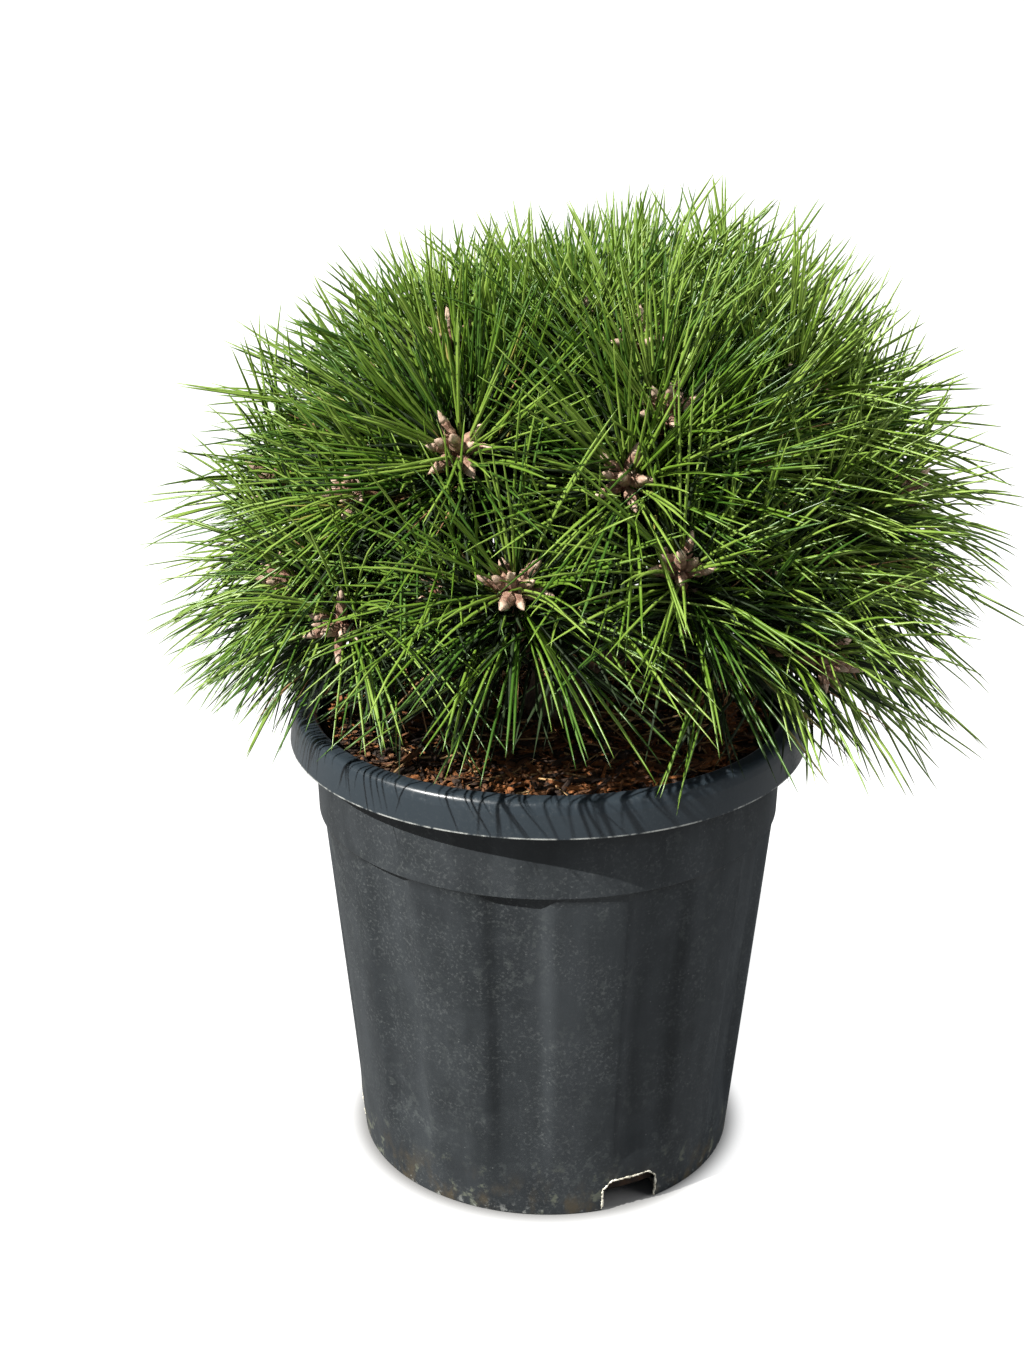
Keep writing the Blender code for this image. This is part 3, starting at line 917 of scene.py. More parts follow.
@dataclass
class Pot:
    """The nursery pot: a thin tapering wall with flutes, a band, a rolled lip and notches."""

    height: float = 0.2425
    lip_radius: float = 0.130
    lip_foot: float = 0.2247
    band_radius: float = 0.1178
    band_foot: float = 0.188
    band_taper: float = 0.0012
    wall_top_radius: float = 0.1154
    wall_top: float = 0.1864
    foot_radius: float = 0.0973
    wall: float = 0.0022
    disc_radius: float = 0.050
    floor_lift: float = 0.007
    steps: int = 300
    wall_cuts: int = 44
    flutes: int = 10
    first_flute: float = math.radians(-8)
    flute_depth: float = 0.0034
    flute_half: float = math.radians(5.0)
    flute_flank: float = math.radians(4.5)
    flute_foot: Pair = (0.018, 0.055)
    flute_slack: float = 0.0002
    notches: int = 3
    first_notch: float = math.radians(25)
    notch_size: Triple = (0.030, 0.017, 0.018)
    notch_chamfer: float = 0.0045
    sharp_edge: float = math.radians(50)
    burr_foot: float = 0.0011
    burr_step: float = 0.0008
    burr_sink: float = 0.0002
    burr_stray: float = 0.00028
    burr_radii: Pair = (0.00040, 0.00085)
    burr_sides: int = 5
    burr: Fibre = Fibre("cut_plastic", (0.30, 0.28, 0.22), (0.60, 0.58, 0.50), 300.0)

    def wall_radius(self, height: float) -> float:
        """Give the wall's outer radius at a height below the band."""
        return self.foot_radius + (self.wall_top_radius - self.foot_radius) * height / self.wall_top

    def section(self) -> tuple[list[Pair], dict[int, int]]:
        """Work out the section, up the inside, over the lip and down the outside.

        Returns:
            The section's points, and the cuts of its two long wall stretches.
        """
        floor = self.floor_lift + self.wall
        inside = filleted([
            (0.0, self.wall, 0.0),
            (self.disc_radius - self.wall, self.wall, 0.001),
            (self.disc_radius + self.wall, floor, 0.001),
            (self.wall_radius(floor) - self.wall, floor, 0.002),
            (self.wall_top_radius - self.wall, self.wall_top, 0.0),
        ])
        lip = filleted([
            (self.wall_top_radius - self.wall, self.wall_top, 0.0),
            (self.band_radius - self.wall, self.lip_foot, 0.004),
            (0.1163, 0.2388, 0.002),
            (0.1188, self.height, 0.0022),
            (0.1268, 0.2422, 0.0038),
            (0.1284, 0.2365, 0.003),
            (self.lip_radius, self.lip_foot, 0.0005),
            (self.lip_radius - 0.0020, self.lip_foot, 0.0004),
            (0.1263, 0.2372, 0.002),
            (0.1225, 0.2400, 0.002),
            (0.1192, 0.2376, 0.001),
            (self.band_radius, self.lip_foot, 0.001),
            (self.band_radius - self.band_taper, self.band_foot, 0.0007),
            (self.wall_top_radius, self.wall_top, 0.0),
        ])
        outside = filleted([
            (self.wall_top_radius, self.wall_top, 0.0),
            (self.foot_radius, 0.0, 0.0009),
            (self.foot_radius - self.wall, 0.0, 0.0005),
            (self.wall_radius(self.floor_lift) - self.wall, self.floor_lift, 0.001),
            (self.disc_radius + 2 * self.wall, self.floor_lift, 0.001),
            (self.disc_radius, 0.0, 0.001),
            (0.0, 0.0, 0.0),
        ])
        cuts = {len(inside) - 2: self.wall_cuts, len(inside) + len(lip) - 2: self.wall_cuts}
        return inside[:-1] + lip[:-1] + outside, cuts

    def pressed(self, turn: float, height: float) -> float:
        """Give how far a flute presses the wall in at an angle and height.

        Args:
            turn: Radians from the front, positive towards +X.
            height: The height above the floor.

        Returns:
            The depth.
        """
        if not 0.0 < height < self.wall_top + self.flute_slack:
            return 0.0
        step = math.tau / self.flutes
        apart = abs((turn - self.first_flute + 0.5 * step) % step - 0.5 * step)
        side = min(max((self.flute_half + self.flute_flank - apart) / self.flute_flank, 0.0), 1.0)
        low, high = self.flute_foot
        foot = min(max((height - low) / (high - low), 0.0), 1.0)
        return self.flute_depth * eased(side) * eased(foot)

    def notch_cutter(self) -> bpy.types.Object:
        """Make the blocks that cut the notches, as one object.

        Returns:
            The cutter.
        """
        shape = bmesh.new()
        width, depth, high = self.notch_size
        block = bmesh.ops.create_cube(shape, size=1.0)["verts"]
        bmesh.ops.scale(shape, vec=(width, depth, 2.0 * high), verts=block)
        bmesh.ops.translate(shape, vec=(0.0, -self.foot_radius, 0.0), verts=block)
        upper = [
            edge for edge in shape.edges
            if all(vertex.co.z > 0.0 for vertex in edge.verts)
            and abs(edge.verts[0].co.x - edge.verts[1].co.x) < 0.5 * width
        ]
        bmesh.ops.bevel(
            shape, geom=upper, offset=self.notch_chamfer, segments=1, profile=0.5,
            affect="EDGES", material=-1,
        )
        bmesh.ops.rotate(shape, matrix=Matrix.Rotation(self.first_notch, 3, "Z"), verts=shape.verts)
        first = shape.verts[:] + shape.edges[:] + shape.faces[:]
        for number in range(1, self.notches):
            copied = bmesh.ops.duplicate(shape, geom=first)["geom"]
            points = [part for part in copied if isinstance(part, bmesh.types.BMVert)]
            turn = Matrix.Rotation(number * math.tau / self.notches, 3, "Z")
            bmesh.ops.rotate(shape, matrix=turn, verts=points)
        bmesh.ops.recalc_face_normals(shape, faces=shape.faces)
        return object_from("notch_cutter", shape, smooth=False)

    def build_shell(self, finish: bpy.types.Material) -> bpy.types.Object:
        """Make the pot's wall, floor and lip.

        Args:
            finish: The pot's plastic.

        Returns:
            The piece.
        """
        section, cuts = self.section()
        shape = lathe(section, self.steps, cuts)
        for vertex in shape.verts:
            radius = vertex.co.xy.length
            if radius > self.disc_radius + 3 * self.wall:
                press = self.pressed(math.atan2(vertex.co.x, -vertex.co.y), vertex.co.z)
                vertex.co.xy *= (radius - press) / radius
        pot = object_from("pot_shell", shape, finish)
        cutter = self.notch_cutter()
        cutting = pot.modifiers.new("notches", "BOOLEAN")
        cutting.operation = "DIFFERENCE"
        cutting.solver = "EXACT"
        cutting.object = cutter
        graph = bpy.context.evaluated_depsgraph_get()
        pot.data = bpy.data.meshes.new_from_object(pot.evaluated_get(graph))
        pot.modifiers.clear()
        bpy.data.objects.remove(cutter, do_unlink=True)
        pot.data.set_sharp_from_angle(angle=self.sharp_edge)
        return pot

    def build_notch_edges(self, finish: bpy.types.Material) -> bpy.types.Object:
        """Make the ragged pale burr along the outer edge of each notch.

        Args:
            finish: The burr's pale plastic.

        Returns:
            The piece.
        """
        half, high = 0.5 * self.notch_size[0], self.notch_size[2]
        corners = [
            (-half, self.burr_foot), (-half, high - self.notch_chamfer),
            (self.notch_chamfer - half, high), (half - self.notch_chamfer, high),
            (half, high - self.notch_chamfer), (half, self.burr_foot),
        ]
        spots = []
        for (x0, z0), (x1, z1) in zip(corners, corners[1:]):
            steps = max(2, round(math.hypot(x1 - x0, z1 - z0) / self.burr_step))
            spots += [
                (x0 + (x1 - x0) * i / steps, z0 + (z1 - z0) * i / steps) for i in range(steps)
            ]
        spots.append(corners[-1])
        shape = bmesh.new()
        dice = np.random.default_rng(SEED)
        for number in range(self.notches):
            turn = self.first_notch + number * math.tau / self.notches
            path, radii = [], []
            for x, z in spots:
                radius = self.wall_radius(z) - self.burr_sink
                out = -math.sqrt(radius * radius - x * x)
                jitter = Vector(dice.uniform(-1.0, 1.0, 3) * self.burr_stray)
                path.append(Matrix.Rotation(turn, 3, "Z") @ (Vector((x, out, z)) + jitter))
                radii.append(float(dice.uniform(*self.burr_radii)))
            swept(path, radii, self.burr_sides, shape)
        bmesh.ops.recalc_face_normals(shape, faces=shape.faces)
        return object_from("notch_burrs", shape, finish)

    def build(self, groups: Groups) -> None:
        """Build and report the pot's pieces.

        Args:
            groups: The shared node groups.
        """
        report(self.build_shell(PotPlastic(self.lip_foot).material(groups)), Slot.POT, ["pot"])
        report(self.build_notch_edges(self.burr.material(groups)), Slot.POT)


def mulch_finish(name: str, dark: Triple, light: Triple) -> Fibre:
    """Give the finish of one tone of mulch."""
    return Fibre(name, dark, light, 260.0, relief=0.0006)


def needle_finish(name: str, dark: Triple, light: Triple) -> Fibre:
    """Give the finish of one tone of living needles."""
    return Fibre(name, dark, light, 45.0, roughness=(0.36, 0.50), relief=0.00008, gloss=0.6)


@dataclass
class Soil:
    """The soil in the pot, covered with shredded bark and a few fallen needles.

    Each row of the mulch holds a finish, its share of the chips and their breadth.
    """

    pot: Pot
    edge: float = 0.2325
    middle: float = 0.2350
    margin: float = 0.0027
    shoulder: float = 0.010
    edge_slack: float = 0.001
    floor_gap: float = 0.0003
    lumps: float = 0.0022
    lump_scale: float = 45.0
    crumb_scale: float = 130.0
    crumb_share: float = 0.5
    rings: int = 46
    steps: int = 150
    peat: Fibre = Fibre("peat", (0.012, 0.008, 0.006), (0.06, 0.032, 0.018), 160.0, relief=0.001)
    mulch: tuple[tuple[Fibre, float, float], ...] = (
        (mulch_finish("mulch_russet", (0.105, 0.036, 0.011), (0.24, 0.092, 0.028)), 0.32, 1.0),
        (mulch_finish("mulch_brown", (0.055, 0.024, 0.011), (0.145, 0.064, 0.026)), 0.32, 1.0),
        (mulch_finish("mulch_dark", (0.012, 0.008, 0.006), (0.040, 0.022, 0.014)), 0.28, 1.0),
        (mulch_finish("mulch_straw", (0.18, 0.11, 0.05), (0.32, 0.21, 0.10)), 0.08, 0.5),
    )
    chips: int = 3600
    chip_lengths: Pair = (0.005, 0.024)
    chip_radii: Pair = (0.0007, 0.0022)
    chip_bend: float = 0.09
    chip_flat: float = 0.38
    fallen_finish: Fibre = Fibre("fallen_needles", (0.34, 0.20, 0.085), (0.55, 0.37, 0.18), 90.0)
    fallen: int = 90
    fallen_lengths: Pair = (0.030, 0.065)
    fallen_radius: float = 0.00055
    fallen_bend: float = 0.12
    fallen_level: Triple = (1.0, 1.0, 0.1)
    fallen_lift: float = 0.001
    tilt: float = 0.17
    roll: float = 0.5
    overhang: float = 0.001
    lift: float = 0.0006
    heap: float = 0.0026

    def top(self, x: float, y: float) -> float:
        """Give the height of the bed at a place.

        Args:
            x: The place's first measure.
            y: Its second.

        Returns:
            The height.
        """
        out = math.hypot(x, y) / self.radius()
        lump = noise.noise(Vector((x, y, 0.0)) * self.lump_scale)
        lump += self.crumb_share * noise.noise(Vector((x, y, 3.0)) * self.crumb_scale)
        return self.middle - (self.middle - self.edge) * out * out + self.lumps * lump

    def radius(self) -> float:
        """Give the radius of the bed's top."""
        return self.pot.band_radius - self.pot.wall - self.margin

    def build_bed(self, groups: Groups) -> bpy.types.Object:
        """Make the body of soil that fills the pot.

        Args:
            groups: The shared node groups.

        Returns:
            The piece.
        """
        floor = self.pot.floor_lift + self.pot.wall + self.floor_gap
        low = self.pot.wall_radius(floor) - self.pot.wall - self.margin
        section = [
            (0.0, self.middle), (self.radius(), self.edge),
            (self.radius(), self.edge - self.shoulder),
            (self.pot.wall_top_radius - self.pot.wall - self.margin, self.pot.wall_top),
            (low, floor), (0.0, floor),
        ]
        shape = lathe(section, self.steps, {0: self.rings})
        for vertex in shape.verts:
            if vertex.co.z > self.edge - self.edge_slack:
                vertex.co.z = self.top(vertex.co.x, vertex.co.y)
        return object_from("soil_bed", shape, self.peat.material(groups))

    def scattered(
        self, count: int, dice: np.random.Generator, lengths: Pair
    ) -> dict[str, np.ndarray]:
        """Scatter slim things over the bed.

        Args:
            count: How many there are.
            dice: The random numbers.
            lengths: Their least and greatest length.

        Returns:
            Roots, ways, lengths and rolls by name.
        """
        long = dice.uniform(*lengths, count)
        turn = dice.uniform(0.0, math.tau, count)
        ways = unit(
            np.stack((np.cos(turn), np.sin(turn), dice.normal(0.0, self.tilt, count)), axis=1)
        )
        spin = dice.uniform(0.0, math.tau, count)
        room = self.radius() + self.overhang - 0.5 * long
        out = room * np.sqrt(dice.uniform(0.0, 1.0, count))
        middles = np.stack((out * np.cos(spin), out * np.sin(spin), np.zeros(count)), axis=1)
        middles[:, 2] = [self.top(x, y) for x, y, _ in middles]
        middles[:, 2] += self.lift + dice.uniform(0.0, self.heap, count)
        roots = middles - ways * long[:, None] * 0.5
        rolls = dice.normal(0.0, self.roll, count)
        return {"roots": roots, "ways": ways, "lengths": long, "rolls": rolls}

    def build(self, groups: Groups) -> None:
        """Build and report the soil's pieces.

        Args:
            groups: The shared node groups.
        """
        dice = np.random.default_rng(SEED + 1)
        report(self.build_bed(groups), Slot.SOIL, ["soil"])
        chip = spindle(5, [(0.0, 0.35), (0.12, 0.85), (0.5, 1.0), (0.85, 0.75), (1.0, 0.25)])
        for finish, share, breadth in self.mulch:
            count = int(self.chips * share)
            given = self.scattered(count, dice, self.chip_lengths)
            widths = dice.uniform(*self.chip_radii, count) * breadth
            bends = dice.normal(0.0, self.chip_bend, (count, 3))
            layer = chip.drawn_along(widths=widths, bends=bends, flats=self.chip_flat, **given)
            dressed(layer, finish, groups, Slot.SOIL, smooth=False)
        given = self.scattered(self.fallen, dice, self.fallen_lengths)
        given["roots"][:, 2] += self.fallen_lift
        bends = dice.normal(0.0, self.fallen_bend, (self.fallen, 3)) * np.array(self.fallen_level)
        widths = np.full(self.fallen, self.fallen_radius)
        layer = spindle(4, PLAIN_BLADE).drawn_along(widths=widths, bends=bends, **given)
        dressed(layer, self.fallen_finish, groups, Slot.SOIL)


@dataclass(frozen=True)
class Tuft:
    """One mass of needles: its name, its way out, its shoots' ways and its bough's start."""

    name: str
    way: np.ndarray
    shoots: list[np.ndarray]
    start: float


@dataclass
class Crown:
    """The cushion of needles, by the same rule as the solids: an ellipsoid with swells.

    A swell is a turn, a rise and a gain. A tier is a rise, a count of tufts, the first
    one's turn and the height at which its boughs leave the stem. Shoots are pairs of
    degrees: those of a tuft lie off its way, and the seen ones are turns and rises.
    """

    middle: Triple = (0.0155, 0.0, 0.288)
    reach: Triple = (0.2155, 0.205, 0.217)
    swell_width: float = math.radians(22)
    swells: tuple[Triple, ...] = (
        (90, 32, 0.05), (90, 68, 0.06), (-90, 24, 0.04), (-90, 84, -0.06), (180, 74, -0.05),
        (-130, 50, -0.05),
    )
    side_droop: float = 0.216
    droop_slope: float = 0.05
    droop_edge: Triple = (0.178, 0.10, 1.8)
    front_droop: float = 0.256
    front_rise: float = 0.46
    front_slopes: Pair = (0.0, 0.24)
    front_from: float = 0.6
    shoot_reach: float = 0.74
    fork_reach: float = 0.46
    bough_reach: float = 0.36
    tiers: tuple[tuple[float, int, float, float], ...] = (
        (12, 8, -17, 0.252), (48, 5, 24, 0.281), (90, 1, 0, 0.0),
    )
    tier_names: tuple[str, ...] = ("low", "mid", "top")
    bough_lift: float = 0.009
    shoots: tuple[Pair, ...] = ((-13, 9), (12, 11), (1, -13))
    top_shoots: tuple[Pair, ...] = ((0, 12), (120, 12), (240, 12))
    seen_shoots: tuple[Pair, ...] = (
        (-62, 14), (-45, 11), (-52, 32), (-29, 43), (-13, 22), (7, 39),
        (16, 25), (19, 51), (20, 65), (74, 49), (44, 5), (-62, 64),
    )
    seen_within: float = math.radians(20)
    hollow_middle: Triple = (0.015, -0.105, 0.266)
    hollow_size: Triple = (0.085, 0.085, 0.046)
    hollow_share: float = 0.78

    def swell(self, ways: np.ndarray) -> np.ndarray:
        """Give how much fuller than an ellipsoid the outline is in each direction.

        Args:
            ways: Directions, one a row, in the crown's own scale.

        Returns:
            The swell of each.
        """
        ways = unit(ways)
        total = np.ones(len(ways))
        for turn, rise, gain in self.swells:
            apart = np.arccos(np.clip(ways @ towards(turn, rise), -1.0, 1.0)) / self.swell_width
            total += gain * np.exp(-apart * apart)
        return total

    def point(self, ways: np.ndarray, shares: np.ndarray | float) -> np.ndarray:
        """Give the places at shares of the crown's reach along directions.

        Args:
            ways: Unit directions, one a row.
            shares: The share of the reach for each.

        Returns:
            The places, one a row.
        """
        shares = np.broadcast_to(shares, len(ways)) * self.swell(ways)
        return np.array(self.middle) + ways * np.array(self.reach) * shares[:, None]

    def spot(self, way: np.ndarray, share: float) -> Vector:
        """Give one place at a share of the reach along a direction."""
        return Vector(self.point(way[None, :], share)[0])

    def share(self, places: np.ndarray) -> np.ndarray:
        """Give the share of the crown's reach at which each place lies.

        Args:
            places: Places, one a row.

        Returns:
            The share of each.
        """
        scaled = (places - np.array(self.middle)) / np.array(self.reach)
        return np.linalg.norm(scaled, axis=1) / self.swell(scaled)

    def lowest(
        self, places: np.ndarray, pot: Pot, clear: float, slack: np.ndarray | float = 0.0
    ) -> np.ndarray:
        """Give the least height that needles may have over each place.

        Args:
            places: Places, one a row.
            pot: The pot below.
            clear: How far they keep from its lip.
            slack: How much lower each may hang beside the pot.

        Returns:
            The least height at each.
        """
        x = places[:, 0]
        out = np.hypot(x, places[:, 1])
        start, shift, steep = self.droop_edge
        side = self.side_droop - self.droop_slope * x
        side += steep * np.maximum(out - start - shift * x, 0.0)
        front = self.front_droop + self.front_rise * (out - pot.band_radius)
        front -= x * np.where(x < 0.0, *self.front_slopes)
        frontal = np.abs(places[:, 1]) / np.maximum(out, 0.001) / self.front_from
        droop = side + (front - side) * eased(np.clip(frontal, 0.0, 1.0)) - slack
        return np.where(out < pot.lip_radius + clear, pot.height + clear, droop)

    def thinned(self, places: np.ndarray) -> np.ndarray:
        """Give how much sparser the needles are in the shaded hollow low in front.

        Args:
            places: Places, one a row.

        Returns:
            The share of needles that is missing at each.
        """
        out = (places - np.array(self.hollow_middle)) / np.array(self.hollow_size)
        return self.hollow_share * np.exp(-(out ** 4).sum(axis=1))

    def tufts(self) -> list[Tuft]:
        """List the masses of needles with their shoots.

        Returns:
            The tufts, lowest tier first.
        """
        tufts = []
        for tier, (rise, count, first, start) in enumerate(self.tiers):
            for number in range(count):
                turn = first + number * 360.0 / count
                name = f"tuft_{self.tier_names[tier]}" + ("" if count == 1 else f"_{number + 1}")
                if count == 1:
                    shoots = [towards(aside, rise - fall) for aside, fall in self.top_shoots]
                else:
                    widen = 1.0 / math.cos(math.radians(rise))
                    shoots = [towards(turn + aside * widen, rise + up) for aside, up in self.shoots]
                lift = self.bough_lift * (number % 2)
                tufts.append(Tuft(name, towards(turn, rise), shoots, start + lift))
        free = [(tuft.shoots, number) for tuft in tufts for number in range(len(tuft.shoots))]
        for turn, rise in self.seen_shoots:
            seen = towards(turn, rise)
            near = [float(seen @ shoots[number]) for shoots, number in free]
            if math.acos(min(1.0, max(near))) < self.seen_within:
                shoots, number = free.pop(near.index(max(near)))
                shoots[number] = seen
        return tufts


@dataclass
class Limbs:
    """The stem and the boughs, with the bark's relief.

    The plates, the furrows and the grain of the bark each hold a scale and a share.
    """

    pot: Pot
    crown: Crown
    foot_x: float = 0.004
    foot_z: float = 0.2358
    sway: float = 0.003
    flare: float = 0.021
    radius: float = 0.0125
    rings: int = 90
    sides: int = 40
    bough_foot: float = 0.0052
    bough_tip: float = 0.0036
    bough_sag: float = 0.08
    bough_last: float = 0.008
    bough_rings: int = 26
    bough_sides: int = 16
    ridge: float = 0.0016
    drawn_out: float = 0.45
    plates: Pair = (260.0, 0.25)
    furrows: Pair = (170.0, 0.45)
    furrow_width: float = 3.0
    grain: Pair = (600.0, 0.28)
    foot_relief: float = 0.6
    finish: Fibre = Fibre(
        "stem_bark", (0.050, 0.030, 0.020), (0.20, 0.135, 0.09), 150.0, (1.0, 1.0, 0.4),
        relief=0.0008,
    )

    def stem_at(self, height: float) -> Vector:
        """Give the middle of the stem at a height.

        Args:
            height: The height above the floor.

        Returns:
            The place.
        """
        top = self.crown.spot(UP, self.crown.bough_reach)
        along = (height - self.foot_z) / (top.z - self.foot_z)
        sway = self.sway * math.sin(math.pi * along) * along
        return Vector((self.foot_x + (top.x - self.foot_x) * eased(along), sway, height))

    def stem_radius(self, along: float) -> float:
        """Give the stem's radius at a share of its height.

        Args:
            along: The share.

        Returns:
            The radius.
        """
        stations = (
            (0.0, self.flare), (0.04, 0.8 * self.flare), (0.10, 1.1 * self.radius),
            (0.20, self.radius), (0.42, 0.85 * self.radius), (0.62, 0.62 * self.radius),
            (0.90, 1.2 * self.bough_tip), (1.0, self.bough_tip),
        )
        return float(np.interp(along, *zip(*stations)))

    def barked(self, shape: bmesh.types.BMesh) -> None:
        """Press furrows and plates into a limb's surface.

        Args:
            shape: The limbs' mesh.
        """
        shape.normal_update()
        for vertex in shape.verts:
            place = Vector((vertex.co.x, vertex.co.y, self.drawn_out * vertex.co.z))
            plates = noise.cell_vector(place * self.plates[0]).x - 0.5
            furrow = 1.0 - abs(noise.noise(place * self.furrows[0])) * self.furrow_width
            fine = noise.noise(vertex.co * self.grain[0])
            raised = self.plates[1] * plates + self.grain[1] * fine
            depth = self.ridge * (raised - self.furrows[1] * max(furrow, 0.0))
            fade = min(1.0, vertex.co.z - self.foot_z + self.foot_relief)
            vertex.co += vertex.normal * depth * fade

    def bough_path(self, tuft: Tuft) -> list[Vector]:
        """Lay a bough from the stem to the place where its tuft starts.

        Args:
            tuft: The tuft that it carries.

        Returns:
            The bough's points.
        """
        foot, tip = self.stem_at(tuft.start), self.crown.spot(tuft.way, self.crown.bough_reach)
        way = (self.crown.spot(tuft.way, self.crown.fork_reach) - tip).normalized()
        reach = tip - way * self.bough_last - foot
        sag = Vector((0.0, 0.0, self.bough_sag * math.hypot(reach.x, reach.y)))
        path = [
            foot + reach * (i / self.bough_rings) - sag * math.sin(math.pi * i / self.bough_rings)
            for i in range(self.bough_rings + 1)
        ]
        return path + [tip - way * self.bough_last * 0.5, tip]

    def build(self, tufts: list[Tuft], groups: Groups) -> None:
        """Build and report the stem and the boughs as one mesh.

        Args:
            tufts: The masses of needles that they carry.
            groups: The shared node groups.
        """
        top = self.crown.spot(UP, self.crown.bough_reach).z
        shares = [number / self.rings for number in range(self.rings + 1)]
        path = [self.stem_at(self.foot_z + (top - self.foot_z) * along) for along in shares]
        shape = swept(path, [self.stem_radius(along) for along in shares], self.sides)
        borne = [tuft for tuft in tufts if tuft.start]
        for tuft in borne:
            path = self.bough_path(tuft)
            radii = np.linspace(self.bough_foot, self.bough_tip, len(path)).tolist()
            swept(path, radii, self.bough_sides, shape)
        bmesh.ops.recalc_face_normals(shape, faces=shape.faces)
        self.barked(shape)
        limbs = object_from("stem_and_boughs", shape, self.finish.material(groups))
        nodes = ["stem"] + [tuft.name.replace("tuft", "bough") for tuft in borne]
        report(limbs, Slot.BARK, nodes)


@dataclass(frozen=True)
class Growth:
    """How shoots grow: the source's own, and side shoots where the crown has room.

    A main shoot is one that the source has and that the photograph's side shows. The
    density holds the needle pairs of a shoot at each of some rises.
    """

    side_count: int = 110
    side_apart: float = math.radians(12.5)
    side_low: float = math.radians(-12.0)
    side_stray: float = 0.04
    front: float = -0.25
    front_low: float = 16.0
    same: float = 0.9999
    density: tuple[Pair, ...] = ((0.0, 46.0), (12.0, 54.0), (35.0, 84.0), (60.0, 104.0))
    low_seen: int = 2
    low_gain: float = 1.5
    side_gain: float = 0.65
    main_reach: Pair = (0.975, 1.025)
    side_reach: Pair = (0.80, 0.92)

    def ways(
        self, tufts: list[Tuft], seen: np.ndarray, dice: np.random.Generator
    ) -> list[tuple[Tuft, np.ndarray, bool]]:
        """List the ways of the source's shoots, then of the side shoots.

        Args:
            tufts: The masses of needles.
            seen: The ways of the shoots that follow the photograph.
            dice: The random numbers.

        Returns:
            The tuft and the way of each shoot, and whether it is a main one.
        """
        ways = []
        for tuft in tufts:
            for way in tuft.shoots:
                hidden = way[1] < self.front and float((seen @ way).max()) < self.same
                ways.append((tuft, way, not hidden))
        for number in range(self.side_count):
            height = 1.0 - 2.0 * (number + 0.5) / self.side_count
            flat = math.sqrt(1.0 - height * height)
            turn = number * GOLDEN
            way = np.array((flat * math.cos(turn), flat * math.sin(turn), height))
            way = unit(way + dice.normal(0.0, self.side_stray, 3))
            near = max(float(way @ other) for _, other, _ in ways)
            if near < math.cos(self.side_apart) and way[2] > math.sin(self.side_low):
                ways.append((max(tufts, key=lambda tuft: float(tuft.way @ way)), way, False))
        return ways

    def shoots(self, crown: Crown, tufts: list[Tuft], dice: np.random.Generator) -> "Shoots":
        """Grow the shoots.

        Args:
            crown: The crown's rule.
            tufts: The masses of needles.
            dice: The random numbers.

        Returns:
            The shoots.
        """
        seen = np.array([towards(*pair) for pair in crown.seen_shoots])
        forks, tips, full, rises, pairs = [], [], [], [], []
        for tuft, way, main in self.ways(tufts, seen, dice):
            rise = math.degrees(math.asin(way[2]))
            if not main and way[1] < self.front and rise < self.front_low:
                continue
            dense = float(np.interp(rise, *zip(*self.density)))
            low_left = float((seen[:self.low_seen] @ way).max()) > self.same
            rises.append(rise)
            gain = self.low_gain if low_left else 1.0 if main else self.side_gain
            pairs.append(round(dense * gain))
            reach = dice.uniform(*(self.main_reach if main else self.side_reach))
            forks.append(crown.spot(tuft.way, crown.fork_reach)[:])
            tips.append(crown.spot(way, crown.shoot_reach * reach)[:])
            full.append(main)
        return Shoots(*(np.array(rows) for rows in (forks, tips, full, rises, pairs)))


@dataclass
class Shoots:
    """The shoots of the tufts: their axes as arrays, and how much each one bears."""

    forks: np.ndarray
    tips: np.ndarray
    full: np.ndarray
    rises: np.ndarray
    pairs: np.ndarray

    def axes(self) -> tuple[np.ndarray, np.ndarray]:
        """Give each shoot's unit direction at its tip and its length.

        Returns:
            The directions and the lengths.
        """
        reach = self.tips - self.forks
        return unit(reach), np.linalg.norm(reach, axis=1)


@dataclass
class Twigs:
    """The twigs, from each bough's tip to its fork and then along each shoot."""

    crown: Crown
    fork_steps: int = 8
    fork_sides: int = 10
    fork_radius: float = 0.0036
    fork_ridge: float = 0.0003
    steps: int = 22
    sides: int = 8
    main_radius: float = 0.0031
    side_radius: float = 0.0025
    ridge: float = 0.14
    taper: Pair = (1.05, 0.15)
    finish: Fibre = Fibre(
        "twig_bark", (0.10, 0.052, 0.026), (0.28, 0.165, 0.09), 240.0, relief=0.0006
    )

    def build(self, tufts: list[Tuft], shoots: Shoots, groups: Groups) -> None:
        """Build and report the twigs as one mesh.

        Args:
            tufts: The masses of needles.
            shoots: Their shoots.
            groups: The shared node groups.
        """
        shape = bmesh.new()
        for tuft in tufts:
            start = self.crown.spot(tuft.way, self.crown.bough_reach)
            end = self.crown.spot(tuft.way, self.crown.fork_reach)
            path = [start.lerp(end, i / self.fork_steps) for i in range(self.fork_steps + 1)]
            radii = [self.fork_radius + self.fork_ridge * (i % 2) for i in range(len(path))]
            swept(path, radii, self.fork_sides, shape)
        wide, narrower = self.taper
        for fork, tip, full in zip(shoots.forks, shoots.tips, shoots.full):
            fork, tip = Vector(fork), Vector(tip)
            path = [fork.lerp(tip, i / self.steps) for i in range(self.steps + 1)]
            radius = self.main_radius if full else self.side_radius
            radii = [
                radius * (1.0 + self.ridge * (i % 2)) * (wide - narrower * i / self.steps)
                for i in range(len(path))
            ]
            swept(path, radii, self.sides, shape)
        bmesh.ops.recalc_face_normals(shape, faces=shape.faces)
        twigs = object_from("twigs", shape, self.finish.material(groups))
        report(twigs, Slot.BARK, [tuft.name for tuft in tufts])


